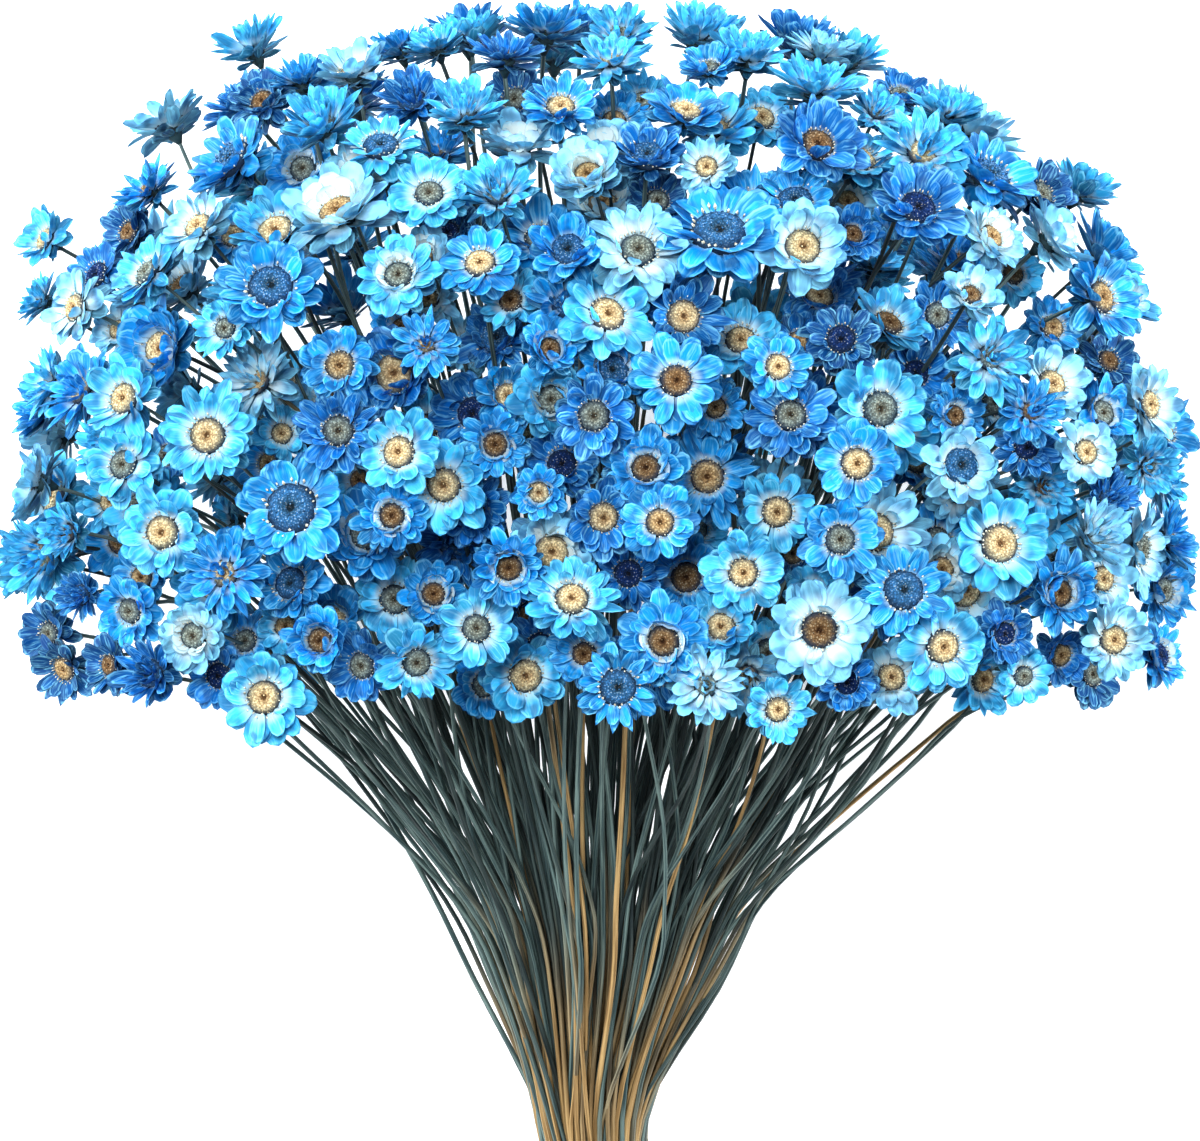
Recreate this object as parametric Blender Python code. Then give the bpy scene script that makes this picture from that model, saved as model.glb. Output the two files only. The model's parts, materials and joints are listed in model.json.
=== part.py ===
"""Dried daisy bunch: about 260 dyed straw-flower daisies on wiry stems, tied at the neck and laid down.

The bunch lies along Y. Its heads make a domed crown at +Y, and its stems gather in a neck and run on
to their cut ends at -Y. X is across the bunch, and Z is up from the surface that it lies on.
Sizes are in metres.
"""

import math
import random
from collections import defaultdict, namedtuple
from functools import lru_cache

import bmesh
import bpy
from mathutils import Vector
from mathutils.bvhtree import BVHTree

# Crown: a squared-off ellipsoid that the heads stand on, looking outwards
CROWN_MIDDLE = Vector((0.0, 0.095, 0.057))
CROWN_HALF_WIDTH = 0.103
CROWN_HALF_LENGTH = 0.100
CROWN_RISE = 0.072
CROWN_DROP = 0.056
CROWN_SQUARENESS = 2.5
RIM_Y = 0.072
RIM_Y_GAIN_AT_SIDES = 0.026

# Strands: the stems are gathered by sixes, and the strands stand in the neck in a sunflower's spiral
STRANDS = 48
STEMS_PER_STRAND = 6
STRAND_RADIUS = 0.00103
STRAND_TOP_RADIUS = 0.0020
NECK_HALF_WIDTH = 0.0112
NECK_HALF_HEIGHT = 0.0108
NECK = Vector((0.0, -0.022, 0.036))
CUT_END_SPREAD = 1.06
CUT_END_TWIST = math.radians(12)
CUT_END = Vector((0.0, -0.200, CUT_END_SPREAD * NECK_HALF_HEIGHT + STRAND_RADIUS))
FAN_LENGTH = 0.048
FAN_SPREAD = 1.9
WIDEST_TURN = math.radians(106)
STRANDS_LEAN_UP = 0.6

# Stems and heads
STEM_RADIUS = 0.0005
STEM_SIDES = 3
STEM_SLOT_RADIUS = 0.00105
STEM_SUNK = 0.0022
STEM_LEAVES_STRAIGHT = 0.34
STEM_ARRIVES_STRAIGHT = 0.28
HEAD_RADII = (0.0050, 0.0095, 0.0072)
SMALL_HEAD = 0.0058
LARGE_HEAD = 0.0088
FEW_PETALS = 5
LIFTS = (0.15, 0.20, 0.30, 0.40, 0.55)
NOD = 0.14
PRESSED_FLAT = 0.0004
CLEARANCE = 0.00025

# Parts of a head, as shares of its radius or, for a notch, of the reach or the lift of its petals
CALYX_DEPTH = 0.50
NOTCH_REACH = 0.62
NOTCH_LIFT = 0.5
SHORT_PETAL = 0.84
SHORT_PETAL_RISE = 0.22
DISC_REACH = 0.34
DISC_RISE = 0.18

# Tie: twine wound round the neck and knotted on top
TWINE_RADIUS = 0.0008
TWINE_GAP = 0.0004
TWINE_TURNS = 2
TWINE_PITCH = 0.0020
TWINE_POINTS_PER_TURN = 14
KNOT_RADIUS = 0.0024
KNOT_SHAPE = (1.3, 1.7, 1.0)
KNOT_SIDES = 8
KNOT_RINGS = 5
TAIL_LENGTH = 0.014
TAIL_BENDS = ((0.0, 0.0, 0.0), (0.4, -0.15, 0.0), (0.9, -0.55, -0.3))
TAIL_WIDTHS = (1.0, 1.0, 0.8)

# Placing
SEED = 12
FLOWERS = 258
UNDERSIDE_FLOWERS = 46
PLAN_SHARE = 0.65
DARTS = 16
BAREST = 4
DEPTH_STEP = 0.004
DEPTH_STEPS = 11
SIDES_OVERLAP = 0.010

GOLDEN_ANGLE = math.pi * (3 - math.sqrt(5))
CAP_WELD = 0.00001
STEM, PETAL, DISC = range(3)

# The heads that stand out: X, Y, diameter, and how far the petals rise from flat (0) to shut (1)
LEADING_HEADS = (
    (-0.046, 0.160, 0.020, 0.30),
    (0.021, 0.156, 0.021, 0.15),
    (-0.054, 0.108, 0.019, 0.12),
    (-0.065, 0.170, 0.018, 0.25),
    (0.069, 0.167, 0.018, 0.25),
    (-0.058, 0.147, 0.018, 0.20),
    (0.070, 0.102, 0.018, 0.15),
    (0.089, 0.146, 0.017, 0.30),
    (0.001, 0.142, 0.016, 0.20),
    (-0.005, 0.092, 0.016, 0.15),
    (-0.059, 0.075, 0.016, 0.15),
    (0.060, 0.084, 0.016, 0.15),
    (-0.077, 0.104, 0.016, 0.30),
    (0.056, 0.161, 0.017, 0.40),
    (-0.063, 0.192, 0.015, 0.45),
    (-0.078, 0.178, 0.015, 0.35),
    (-0.024, 0.178, 0.015, 0.45),
    (0.015, 0.178, 0.015, 0.30),
    (0.045, 0.190, 0.015, 0.45),
    (0.027, 0.143, 0.015, 0.20),
    (0.080, 0.156, 0.015, 0.40),
    (-0.069, 0.121, 0.015, 0.25),
    (-0.035, 0.118, 0.015, 0.15),
    (0.045, 0.116, 0.015, 0.20),
    (-0.080, 0.150, 0.015, 0.20),
    (-0.071, 0.158, 0.014, 0.20),
    (-0.101, 0.113, 0.014, 0.25),
    (-0.016, 0.098, 0.014, 0.50),
    (-0.022, 0.087, 0.014, 0.20),
    (-0.079, 0.079, 0.014, 0.45),
    (0.025, 0.097, 0.014, 0.15),
    (-0.021, 0.151, 0.014, 0.20),
    (-0.007, 0.179, 0.014, 0.30),
    (0.062, 0.179, 0.014, 0.45),
    (-0.049, 0.085, 0.013, 0.55),
    (0.098, 0.127, 0.014, 0.25),
    (0.091, 0.085, 0.014, 0.25),
    (-0.009, 0.136, 0.012, 0.60),
    (0.016, 0.136, 0.013, 0.60),
    (0.031, 0.133, 0.012, 0.30),
    (0.031, 0.073, 0.012, 0.20),
    (0.003, 0.077, 0.014, 0.20),
    (-0.032, 0.093, 0.012, 0.30),
    (0.032, 0.108, 0.014, 0.20),
    (-0.100, 0.157, 0.013, 0.25),
    (0.087, 0.166, 0.014, 0.45),
    (0.098, 0.116, 0.012, 0.40),
    (-0.092, 0.093, 0.010, 0.50),
)

Flower = namedtuple("Flower", "strand slot heart facing radius lift petals")


def clear_scene():
    for obj in list(bpy.data.objects):
        bpy.data.objects.remove(obj, do_unlink=True)


def new_collection(name):
    collection = bpy.data.collections.new(name)
    bpy.context.scene.collection.children.link(collection)
    return collection


def plain_material(name, colour, roughness):
    material = bpy.data.materials.new(name)
    material.use_nodes = True
    surface = material.node_tree.nodes["Principled BSDF"]
    surface.inputs["Base Color"].default_value = (*colour, 1.0)
    surface.inputs["Roughness"].default_value = roughness
    surface.inputs["Metallic"].default_value = 0.0
    material.diffuse_color = (*colour, 1.0)
    return material


# The crown's surface

def crown_halves(way):
    """The crown's half width, half length and half height on the side that way looks to."""
    return CROWN_HALF_WIDTH, CROWN_HALF_LENGTH, CROWN_RISE if way[2] > 0 else CROWN_DROP


def crown_point(way):
    """The point of the crown in a direction that is measured in the crown's own half sizes."""
    size = sum(abs(part) ** CROWN_SQUARENESS for part in way) ** (-1 / CROWN_SQUARENESS)
    return CROWN_MIDDLE + Vector(size * part * half for part, half in zip(way, crown_halves(way)))


def crown_way(point):
    """The direction of a point from the crown's middle, measured in the crown's own half sizes."""
    away = point - CROWN_MIDDLE
    return Vector(part / half for part, half in zip(away, crown_halves(away))).normalized()


def crown_facing(point):
    """The way straight out of the crown, at a point near its surface."""
    away = point - CROWN_MIDDLE
    steep = CROWN_SQUARENESS - 1
    slope = [math.copysign(abs(part / half) ** steep / half, part)
             for part, half in zip(away, crown_halves(away))]
    return Vector(slope).normalized()


def crown_over(x, y):
    """The point of the crown's upper surface over a place in plan, or of its middle plane beyond it."""
    across = abs(x) / CROWN_HALF_WIDTH
    along = abs(y - CROWN_MIDDLE.y) / CROWN_HALF_LENGTH
    left = max(0.0, 1 - across**CROWN_SQUARENESS - along**CROWN_SQUARENESS)
    return Vector((x, y, CROWN_MIDDLE.z + CROWN_RISE * left ** (1 / CROWN_SQUARENESS)))


def rim_y(x):
    """The crown's lower edge, which rises towards the sides."""
    return RIM_Y + RIM_Y_GAIN_AT_SIDES * (x / CROWN_HALF_WIDTH) ** 2


# Strands

def strand_offset(strand, spread=1.0, twist=0.0):
    """Where a strand stands in the spiral, from the middle of the bundle."""
    out = spread * math.sqrt((strand + 0.5) / STRANDS)
    turn = strand * GOLDEN_ANGLE + twist
    return Vector((NECK_HALF_WIDTH * out * math.cos(turn), 0.0, NECK_HALF_HEIGHT * out * math.sin(turn)))


@lru_cache(maxsize=None)
def strand_way(strand):
    """The direction of the part of the crown that a strand feeds."""
    turn = strand * GOLDEN_ANGLE
    along = 1 - (1 - math.cos(WIDEST_TURN)) * (strand + 0.5) / STRANDS
    across = math.sqrt(1 - along**2)
    way = Vector((across * math.cos(turn), along, across * math.sin(turn) + STRANDS_LEAN_UP))
    return way.normalized()


@lru_cache(maxsize=None)
def strand_top(strand):
    """The middle of a strand's top end, the strand's direction there and the two ways across it."""
    start = NECK + strand_offset(strand)
    middle = NECK + strand_offset(strand, FAN_SPREAD) + FAN_LENGTH * (NECK - CUT_END).normalized()
    along = (middle - start).normalized()
    side = along.cross(Vector((0, 0, 1))).normalized()
    return middle, along, side, side.cross(along)


def strand_tube(strand, collection):
    """A strand from its cut end, through the neck, to the top end where its stems part."""
    cut_end = CUT_END + strand_offset(strand, CUT_END_SPREAD, CUT_END_TWIST)
    route = (cut_end, NECK + strand_offset(strand), strand_top(strand)[0])
    radii = (STRAND_RADIUS, STRAND_RADIUS, STRAND_TOP_RADIUS)
    return tube("strand", route, radii, collection)


def tube(name, route, radii, collection):
    """A mesh tube with closed ends, from a bevelled curve."""
    curve = bpy.data.curves.new(name, "CURVE")
    curve.dimensions = "3D"
    curve.bevel_depth = 1.0
    curve.bevel_resolution = 1
    curve.use_fill_caps = True
    spline = curve.splines.new("POLY")
    spline.points.add(len(route) - 1)
    for control, point, radius in zip(spline.points, route, radii):
        control.co = (*point, 1.0)
        control.radius = radius
    guide = bpy.data.objects.new(name, curve)
    collection.objects.link(guide)
    bpy.context.view_layer.update()
    mesh = bpy.data.meshes.new_from_object(guide.evaluated_get(bpy.context.evaluated_depsgraph_get()))
    bpy.data.objects.remove(guide)
    bpy.data.curves.remove(curve)
    weld_caps(mesh)
    solid = bpy.data.objects.new(name, mesh)
    collection.objects.link(solid)
    return solid


def weld_caps(mesh):
    shape = bmesh.new()
    shape.from_mesh(mesh)
    bmesh.ops.remove_doubles(shape, verts=shape.verts, dist=CAP_WELD)
    bmesh.ops.recalc_face_normals(shape, faces=shape.faces)
    shape.to_mesh(mesh)
    shape.free()


# Flowers

@lru_cache(maxsize=None)
def slot_way(strand, slot):
    """The way from the middle of a strand's top end to one of the places where a stem leaves it."""
    _, _, side, lift = strand_top(strand)
    turn = math.tau * slot / STEMS_PER_STRAND
    return math.cos(turn) * side + math.sin(turn) * lift


def bezier(bends, at):
    """The point of a cubic Bezier curve, from its start (0) to its end (1)."""
    a, b, c, d = bends
    rest = 1 - at
    return a * rest**3 + 3 * b * rest**2 * at + 3 * c * rest * at**2 + d * at**3


def stem_line(flower):
    """A stem's middle line: its root, sunk in the end of its strand, its bend and the base of its calyx."""
    middle, along, _, _ = strand_top(flower.strand)
    leave = middle + STEM_SLOT_RADIUS * slot_way(flower.strand, flower.slot)
    base = flower.heart - CALYX_DEPTH * flower.radius * flower.facing
    reach = (base - leave).length
    bends = (leave, leave + STEM_LEAVES_STRAIGHT * reach * along,
             base - STEM_ARRIVES_STRAIGHT * reach * flower.facing, base)
    bend = bezier(bends, 0.5)
    return leave - STEM_SUNK * (bend - leave).normalized(), bend, base


def ring(middle, first, second, radius, turns, rise=0.0):
    """(turn, corner) for each share of a turn round a middle, in the plane of two square ways."""
    centre = middle + rise * first.cross(second)
    return [
        (turn, centre + radius * (math.cos(math.tau * turn) * first + math.sin(math.tau * turn) * second))
        for turn in turns
    ]


def petal_ring(flower, first, second, slack=0.0):
    """The petals' edge: every other petal is shorter and stands higher, with a notch between each two."""
    reach = flower.radius * math.sqrt(1 - flower.lift**2)
    edge = []
    for petal in range(flower.petals):
        short = petal % 2
        tip = reach * (SHORT_PETAL if short else 1.0) + slack
        rise = flower.radius * (flower.lift + short * SHORT_PETAL_RISE)
        edge += ring(flower.heart, first, second, tip, [petal / flower.petals], rise)
        notch, low = NOTCH_REACH * reach + slack, NOTCH_LIFT * flower.lift * flower.radius
        edge += ring(flower.heart, first, second, notch, [(petal + 0.5) / flower.petals], low)
    return edge


def squared(first, way):
    """The first way turned as little as it takes to be square to the other."""
    return (first - first.dot(way) * way).normalized()


def flower_rings(flower, slack):
    """The rings of a flower: root, bend and top of its stem, the petals' edge and the disc's edge.

    The top ring halves the corner between the stem and the head, so that a sharp corner can't fold its faces.
    """
    along = strand_top(flower.strand)[1]
    root, bend, base = stem_line(flower)
    arrival = ((base - bend).normalized() + flower.facing).normalized()
    first = -slot_way(flower.strand, flower.slot)
    sides = [side / STEM_SIDES for side in range(STEM_SIDES)]
    rings = []
    for point, way in ((root, along), (bend, along), (base, arrival)):
        first = squared(first, way)
        rings.append(ring(point, first, way.cross(first), STEM_RADIUS + slack, sides))
    first = squared(first, flower.facing)
    second = flower.facing.cross(first)
    rings.append(petal_ring(flower, first, second, slack))
    between = [(petal + 0.5) / flower.petals for petal in range(flower.petals)]
    rise = DISC_RISE * flower.radius + slack
    rings.append(ring(flower.heart, first, second, DISC_REACH * flower.radius, between, rise))
    return rings


def flower_shape(flower, slack=0.0):
    """Corners, faces and colours of a flower grown in one piece, or of a thicker one where slack is given."""
    corners, numbered = [], []
    for made in flower_rings(flower, slack):
        numbered.append([(turn, len(corners) + index) for index, (turn, _) in enumerate(made)])
        corners += [corner for _, corner in made]
    root, bend, calyx, petals, disc = numbered
    stem = [[number for _, number in reversed(root)], *straight_sides(root, bend), *joined(bend, calyx)]
    head = joined(calyx, petals) + joined(petals, disc)
    top = [[number for _, number in disc]]
    colours = [STEM] * len(stem) + [PETAL] * len(head) + [DISC]
    return [Vector((x, y, max(z, 0.0))) for x, y, z in corners], stem + head + top, colours


def straight_sides(lower, upper):
    """Four-cornered faces between two rings that are alike and parallel."""
    low, high = ([number for _, number in made] for made in (lower, upper))
    return list(zip(low, low[1:] + low[:1], high[1:] + high[:1], high))


def joined(lower, upper):
    """Triangles between two rings, whose counts may differ: each step goes up on the ring that is behind."""
    faces, i, j = [], 0, 0
    while i < len(lower) or j < len(upper):
        (turn_here, here), (next_turn_here, next_here) = corner_at(lower, i), corner_at(lower, i + 1)
        (turn_there, there), (next_turn_there, next_there) = corner_at(upper, j), corner_at(upper, j + 1)
        here_is_behind = turn_here + next_turn_here <= turn_there + next_turn_there
        if j == len(upper) or (i < len(lower) and here_is_behind):
            faces.append((here, next_here, there))
            i += 1
        else:
            faces.append((here, next_there, there))
            j += 1
    return faces


def corner_at(made, index):
    """The turn and number of a ring's corner, counting on past the ring's end into its next turn."""
    turn, number = made[index % len(made)]
    return turn + index // len(made), number


def petals_for(radius):
    return FEW_PETALS + (radius > SMALL_HEAD) + (radius > LARGE_HEAD)


# Placing the flowers

def nearest_slot(point, taken):
    """The strand with room that feeds the nearest part of the crown, and its free slot nearest the point."""
    way = crown_way(point)
    roomy = [strand for strand in range(STRANDS) if len(taken[strand]) < STEMS_PER_STRAND]
    strand = max(roomy, key=lambda strand: way.dot(strand_way(strand)))
    away = point - strand_top(strand)[0]
    free = [slot for slot in range(STEMS_PER_STRAND) if slot not in taken[strand]]
    return strand, max(free, key=lambda slot: slot_way(strand, slot).dot(away))


def nodded(facing, draw):
    """A head's facing, turned a little any way, as no head looks straight out."""
    nod = NOD * Vector(draw.gauss(0, 1) for _ in range(3))
    return (facing + nod).normalized()


def raised(flower):
    """The flower, higher if its petals would go further than pressed into the surface it lies on."""
    first = flower.facing.orthogonal().normalized()
    edge = petal_ring(flower, first, flower.facing.cross(first))
    sunk = -PRESSED_FLAT - min(corner.z for _, corner in edge)
    return flower._replace(heart=flower.heart + Vector((0, 0, max(sunk, 0.0))))


class Bed:
    """The flowers placed so far, with a search tree of each to test the next ones against."""

    def __init__(self, strands):
        self.flowers = []
        self.taken = defaultdict(set)
        self.strand_trees = [mesh_tree(strand.data) for strand in strands]
        self.flower_trees = []

    def is_clear(self, flower):
        corners, faces, _ = flower_shape(flower, CLEARANCE)
        tree = BVHTree.FromPolygons(corners, faces)
        others = self.flower_trees + self.strand_trees[:flower.strand] + self.strand_trees[flower.strand + 1:]
        return not any(tree.overlap(other) for other in others)

    def add(self, point, nod, radius, lift):
        """Adds a flower at the point, or as little behind it as is clear. True where one was added."""
        out = crown_facing(point)
        for step in range(DEPTH_STEPS):
            heart = point - step * DEPTH_STEP * out
            slot = nearest_slot(heart, self.taken)
            flower = raised(Flower(*slot, heart, nod, radius, lift, petals_for(radius)))
            if self.is_clear(flower):
                self.flowers.append(flower)
                self.taken[flower.strand].add(flower.slot)
                corners, faces, _ = flower_shape(flower)
                self.flower_trees.append(BVHTree.FromPolygons(corners, faces))
                return True
        return False


def mesh_tree(mesh):
    corners = [vertex.co for vertex in mesh.vertices]
    return BVHTree.FromPolygons(corners, [tuple(face.vertices) for face in mesh.polygons])


def thrown(draw, side, in_plan):
    """A point thrown at the crown's upper (1) or lower (-1) side, evenly in plan or evenly all round."""
    while True:
        if in_plan:
            x = draw.uniform(-CROWN_HALF_WIDTH, CROWN_HALF_WIDTH)
            y = draw.uniform(RIM_Y, CROWN_MIDDLE.y + CROWN_HALF_LENGTH)
            point = crown_over(x, y)
        else:
            way = Vector(draw.gauss(0, 1) for _ in range(3)).normalized()
            point = crown_point((way.x, way.y, side * abs(way.z)))
        if point.y > rim_y(point.x) and point.z != CROWN_MIDDLE.z:
            return point


def bareness(point, flowers, in_plan):
    """How far it is from a point to the nearest head's edge, in plan or in space."""
    flat = Vector((1, 1, 0 if in_plan else 1))
    return min((flat * (point - flower.heart)).length - flower.radius for flower in flowers)


def place_flowers(strands):
    """The leading heads, then heads thrown where the crown is barest, first on the side it lies on."""
    draw = random.Random(SEED)
    bed = Bed(strands)
    for x, y, diameter, lift in LEADING_HEADS:
        point = crown_over(x, y)
        bed.add(point, nodded(crown_facing(point), draw), diameter / 2, lift)
    for side, wanted in ((-1, len(bed.flowers) + UNDERSIDE_FLOWERS), (1, FLOWERS)):
        while len(bed.flowers) < wanted:
            in_plan = side > 0 and draw.random() < PLAN_SHARE
            same_side = [flower for flower in bed.flowers
                         if side * (flower.heart.z - CROWN_MIDDLE.z) > -SIDES_OVERLAP] or bed.flowers
            darts = [thrown(draw, side, in_plan) for _ in range(DARTS)]
            darts.sort(key=lambda dart: bareness(dart, same_side, in_plan), reverse=True)
            radius = draw.triangular(*HEAD_RADII)
            lift = draw.choice(LIFTS)
            nods = [nodded(crown_facing(dart), draw) for dart in darts[:BAREST]]
            any(bed.add(dart, nod, radius, lift) for dart, nod in zip(darts, nods))
    return bed.flowers


# Solids

def flower_solid(flower, materials, collection):
    corners, faces, colours = flower_shape(flower)
    mesh = bpy.data.meshes.new("flower")
    mesh.from_pydata(corners, [], faces)
    for material in materials:
        mesh.materials.append(material)
    mesh.polygons.foreach_set("material_index", colours)
    collection.objects.link(bpy.data.objects.new("flower", mesh))


def united(name, base, joining, parts):
    """Joins the solids of a collection to the base by one Boolean union, and removes them.

    The solver is the one for closed meshes, because the exact one leaves open edges on some strands.
    """
    union = base.modifiers.new("union", "BOOLEAN")
    union.operation = "UNION"
    union.operand_type = "COLLECTION"
    union.collection = joining
    union.solver = "MANIFOLD"
    bpy.context.view_layer.update()
    mesh = bpy.data.meshes.new_from_object(base.evaluated_get(bpy.context.evaluated_depsgraph_get()))
    mesh.name = name
    for solid in (base, *joining.objects):
        bpy.data.objects.remove(solid)
    bpy.data.collections.remove(joining)
    parts.objects.link(bpy.data.objects.new(name, mesh))


def flower_group(number, strand, flowers, materials, parts):
    """One solid: a strand with its flowers' stems sunk into its top end."""
    for material in materials:
        strand.data.materials.append(material)
    growing = new_collection("growing")
    for flower in flowers:
        flower_solid(flower, materials, growing)
    united(f"flowers_{number:02d}", strand, growing, parts)


def twine_route():
    """The twine's middle line: its turns round the neck, from the knot back to the knot."""
    along = (NECK - CUT_END).normalized()
    wide = NECK_HALF_WIDTH + STRAND_RADIUS + TWINE_GAP + TWINE_RADIUS
    high = NECK_HALF_HEIGHT + STRAND_RADIUS + TWINE_GAP + TWINE_RADIUS
    steps = TWINE_TURNS * TWINE_POINTS_PER_TURN
    route = []
    for step in range(steps + 1):
        turn = math.tau * step / TWINE_POINTS_PER_TURN
        slip = (step / steps - 0.5) * TWINE_TURNS * TWINE_PITCH
        route.append(NECK + slip * along + Vector((wide * math.sin(turn), 0.0, high * math.cos(turn))))
    return route


def tie(material, parts):
    """Twine wound round the neck, with a knot on top and two short tails."""
    loose = new_collection("twine")
    route = twine_route()
    turns = tube("turns", route, [TWINE_RADIUS] * len(route), loose)
    turns.data.materials.append(material)
    joining = new_collection("knot")
    knot_at = NECK + Vector((0.0, 0.0, NECK_HALF_HEIGHT + STRAND_RADIUS + TWINE_GAP + KNOT_RADIUS))
    knot = bpy.data.meshes.new("knot")
    shape = bmesh.new()
    bmesh.ops.create_uvsphere(shape, u_segments=KNOT_SIDES, v_segments=KNOT_RINGS, radius=KNOT_RADIUS)
    bmesh.ops.scale(shape, vec=KNOT_SHAPE, verts=shape.verts)
    bmesh.ops.translate(shape, vec=knot_at, verts=shape.verts)
    shape.to_mesh(knot)
    shape.free()
    joining.objects.link(bpy.data.objects.new("knot", knot))
    for hand in (-1, 1):
        ends = [knot_at + TAIL_LENGTH * Vector((hand * out, along, rise)) for out, along, rise in TAIL_BENDS]
        tube("tail", ends, [TWINE_RADIUS * width for width in TAIL_WIDTHS], joining)
    united("tie", turns, joining, parts)
    bpy.data.collections.remove(loose)


def main():
    clear_scene()
    parts = new_collection("dried_daisy_bunch")
    loose = new_collection("strands")
    materials = (
        plain_material("stem_green", (0.10, 0.14, 0.12), 0.7),
        plain_material("petal_blue", (0.05, 0.33, 0.85), 0.6),
        plain_material("disc_cream", (0.75, 0.62, 0.38), 0.8),
    )
    strands = [strand_tube(strand, loose) for strand in range(STRANDS)]
    flowers = place_flowers(strands)
    for index, strand in enumerate(strands):
        own = [flower for flower in flowers if flower.strand == index]
        flower_group(index + 1, strand, own, materials, parts)
    bpy.data.collections.remove(loose)
    tie(plain_material("twine", (0.55, 0.42, 0.25), 0.9), parts)


main()
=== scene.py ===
# %% [markdown]
# # A bunch of dried daisies, dyed blue
#
# The bunch is a few hundred small papery daisies on wiry stems, gathered in a narrow neck and laid
# down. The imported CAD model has 258 of them, each as a plain star, and every six stems as one bar.
# This lesson dresses them: each head gets its layers of bracts and its disc of florets, a second tier
# of heads closes the gaps, and each stem goes by itself from its head to its cut end. Most of that is
# the same small shapes again and again, so Geometry Nodes place them.

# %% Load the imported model
import json
import math
import random
from collections import Counter, namedtuple

import bmesh
import bpy
import numpy as np
from mathutils import Matrix, Vector

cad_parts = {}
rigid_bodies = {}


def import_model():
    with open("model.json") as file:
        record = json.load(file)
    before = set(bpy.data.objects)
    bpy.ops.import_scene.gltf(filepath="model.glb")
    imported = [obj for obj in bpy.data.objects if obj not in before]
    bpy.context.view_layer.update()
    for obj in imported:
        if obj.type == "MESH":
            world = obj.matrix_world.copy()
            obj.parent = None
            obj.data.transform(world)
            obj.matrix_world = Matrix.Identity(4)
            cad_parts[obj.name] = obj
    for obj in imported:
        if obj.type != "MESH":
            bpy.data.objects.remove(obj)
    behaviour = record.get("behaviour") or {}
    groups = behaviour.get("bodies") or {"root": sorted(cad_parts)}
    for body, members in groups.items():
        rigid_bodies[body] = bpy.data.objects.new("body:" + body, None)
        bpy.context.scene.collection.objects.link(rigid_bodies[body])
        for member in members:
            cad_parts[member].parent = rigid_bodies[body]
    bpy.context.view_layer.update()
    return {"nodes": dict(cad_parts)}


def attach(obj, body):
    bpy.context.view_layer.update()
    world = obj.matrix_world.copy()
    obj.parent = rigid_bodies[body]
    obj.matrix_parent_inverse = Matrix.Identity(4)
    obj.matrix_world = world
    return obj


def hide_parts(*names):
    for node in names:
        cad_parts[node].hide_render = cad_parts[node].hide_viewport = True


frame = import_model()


def add_object(name, data):
    """Puts a new object in the scene."""
    made = bpy.data.objects.new(name, data)
    bpy.context.scene.collection.objects.link(made)
    return made


# %% [markdown]
# ## The camera
#
# The photograph shows the bunch upright and cuts its stems off below. The bunch itself lies down, so
# the same view is had from straight above, with the crown's side (+Y) up in the picture. The lens
# could be a normal one close by, but the heads show no perspective, so a long lens from two metres
# is nearer to what the photographer used.

# %% Camera
PIXEL = 0.00018
PHOTO_WIDTH, PHOTO_HEIGHT = 1200, 1141
TOP_EDGE_Y = 0.200
HEADS_Z = 0.075
CAMERA_DISTANCE = 2.0
SENSOR = 36.0

camera = add_object("camera", bpy.data.cameras.new("camera"))
camera.location = (0, TOP_EDGE_Y - PIXEL * PHOTO_HEIGHT / 2, HEADS_Z + CAMERA_DISTANCE)
camera.data.sensor_width = SENSOR
camera.data.lens = SENSOR * CAMERA_DISTANCE / (PIXEL * PHOTO_WIDTH)
bpy.context.scene.camera = camera
print("lens, mm:", round(camera.data.lens, 1))


def in_plan(across, down):
    """The place in plan that a pixel of the photograph shows, in metres."""
    return Vector((PIXEL * (across - PHOTO_WIDTH / 2), TOP_EDGE_Y - PIXEL * down))


# %% [markdown]
# ## Floor and light
#
# The photograph is a cut-out on white, lit softly from the front. A pale floor stands for the white.
# It glows a little, as a light table does, so that the bunch's own shadow doesn't grey the gaps
# between its stems. One lamp nearly above gives the heads a lit side and a shaded side, three weak
# ones reach the heads that look outwards, and a dim surround keeps the gaps from going black. The
# photograph has deeper darks than such light gives. Harder lamps would give them too, but with hard
# shadows, so a gamma a little under one makes the picture's darks deeper, as a print does.

# %% Floor and lamps
FLOOR_HALF = 4.0
FLOOR_COLOUR = (0.93, 0.94, 0.95, 1)
FLOOR_ROUGHNESS = 0.9
FLOOR_GLOW = 0.36
SURROUND = (0.96, 0.98, 1.0, 1)
SURROUND_STRENGTH = 0.26
PRINT_GAMMA = 0.88
TARGET = Vector((0, 0.08, 0.05))
LAMPS = (
    ("key", Vector((-0.20, 0.38, 1.40)), 0.42, 17.5),
    ("fill_right", Vector((1.10, 0.15, 0.55)), 0.70, 17.0),
    ("fill_left", Vector((-1.10, 0.15, 0.55)), 0.70, 16.0),
    ("fill_top", Vector((0.00, 1.30, 0.45)), 0.70, 12.0),
)

floor_corners = [(FLOOR_HALF * x, FLOOR_HALF * y, 0) for x, y in ((-1, -1), (1, -1), (1, 1), (-1, 1))]
floor_mesh = bpy.data.meshes.new("floor")
floor_mesh.from_pydata(floor_corners, [], [(0, 1, 2, 3)])
add_object("floor", floor_mesh)
floor_paint = bpy.data.materials.new("floor_paint")
floor_paint.use_nodes = True
for socket, value in (("Base Color", FLOOR_COLOUR), ("Roughness", FLOOR_ROUGHNESS),
                      ("Emission Color", FLOOR_COLOUR), ("Emission Strength", FLOOR_GLOW)):
    floor_paint.node_tree.nodes["Principled BSDF"].inputs[socket].default_value = value
floor_mesh.materials.append(floor_paint)

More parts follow.
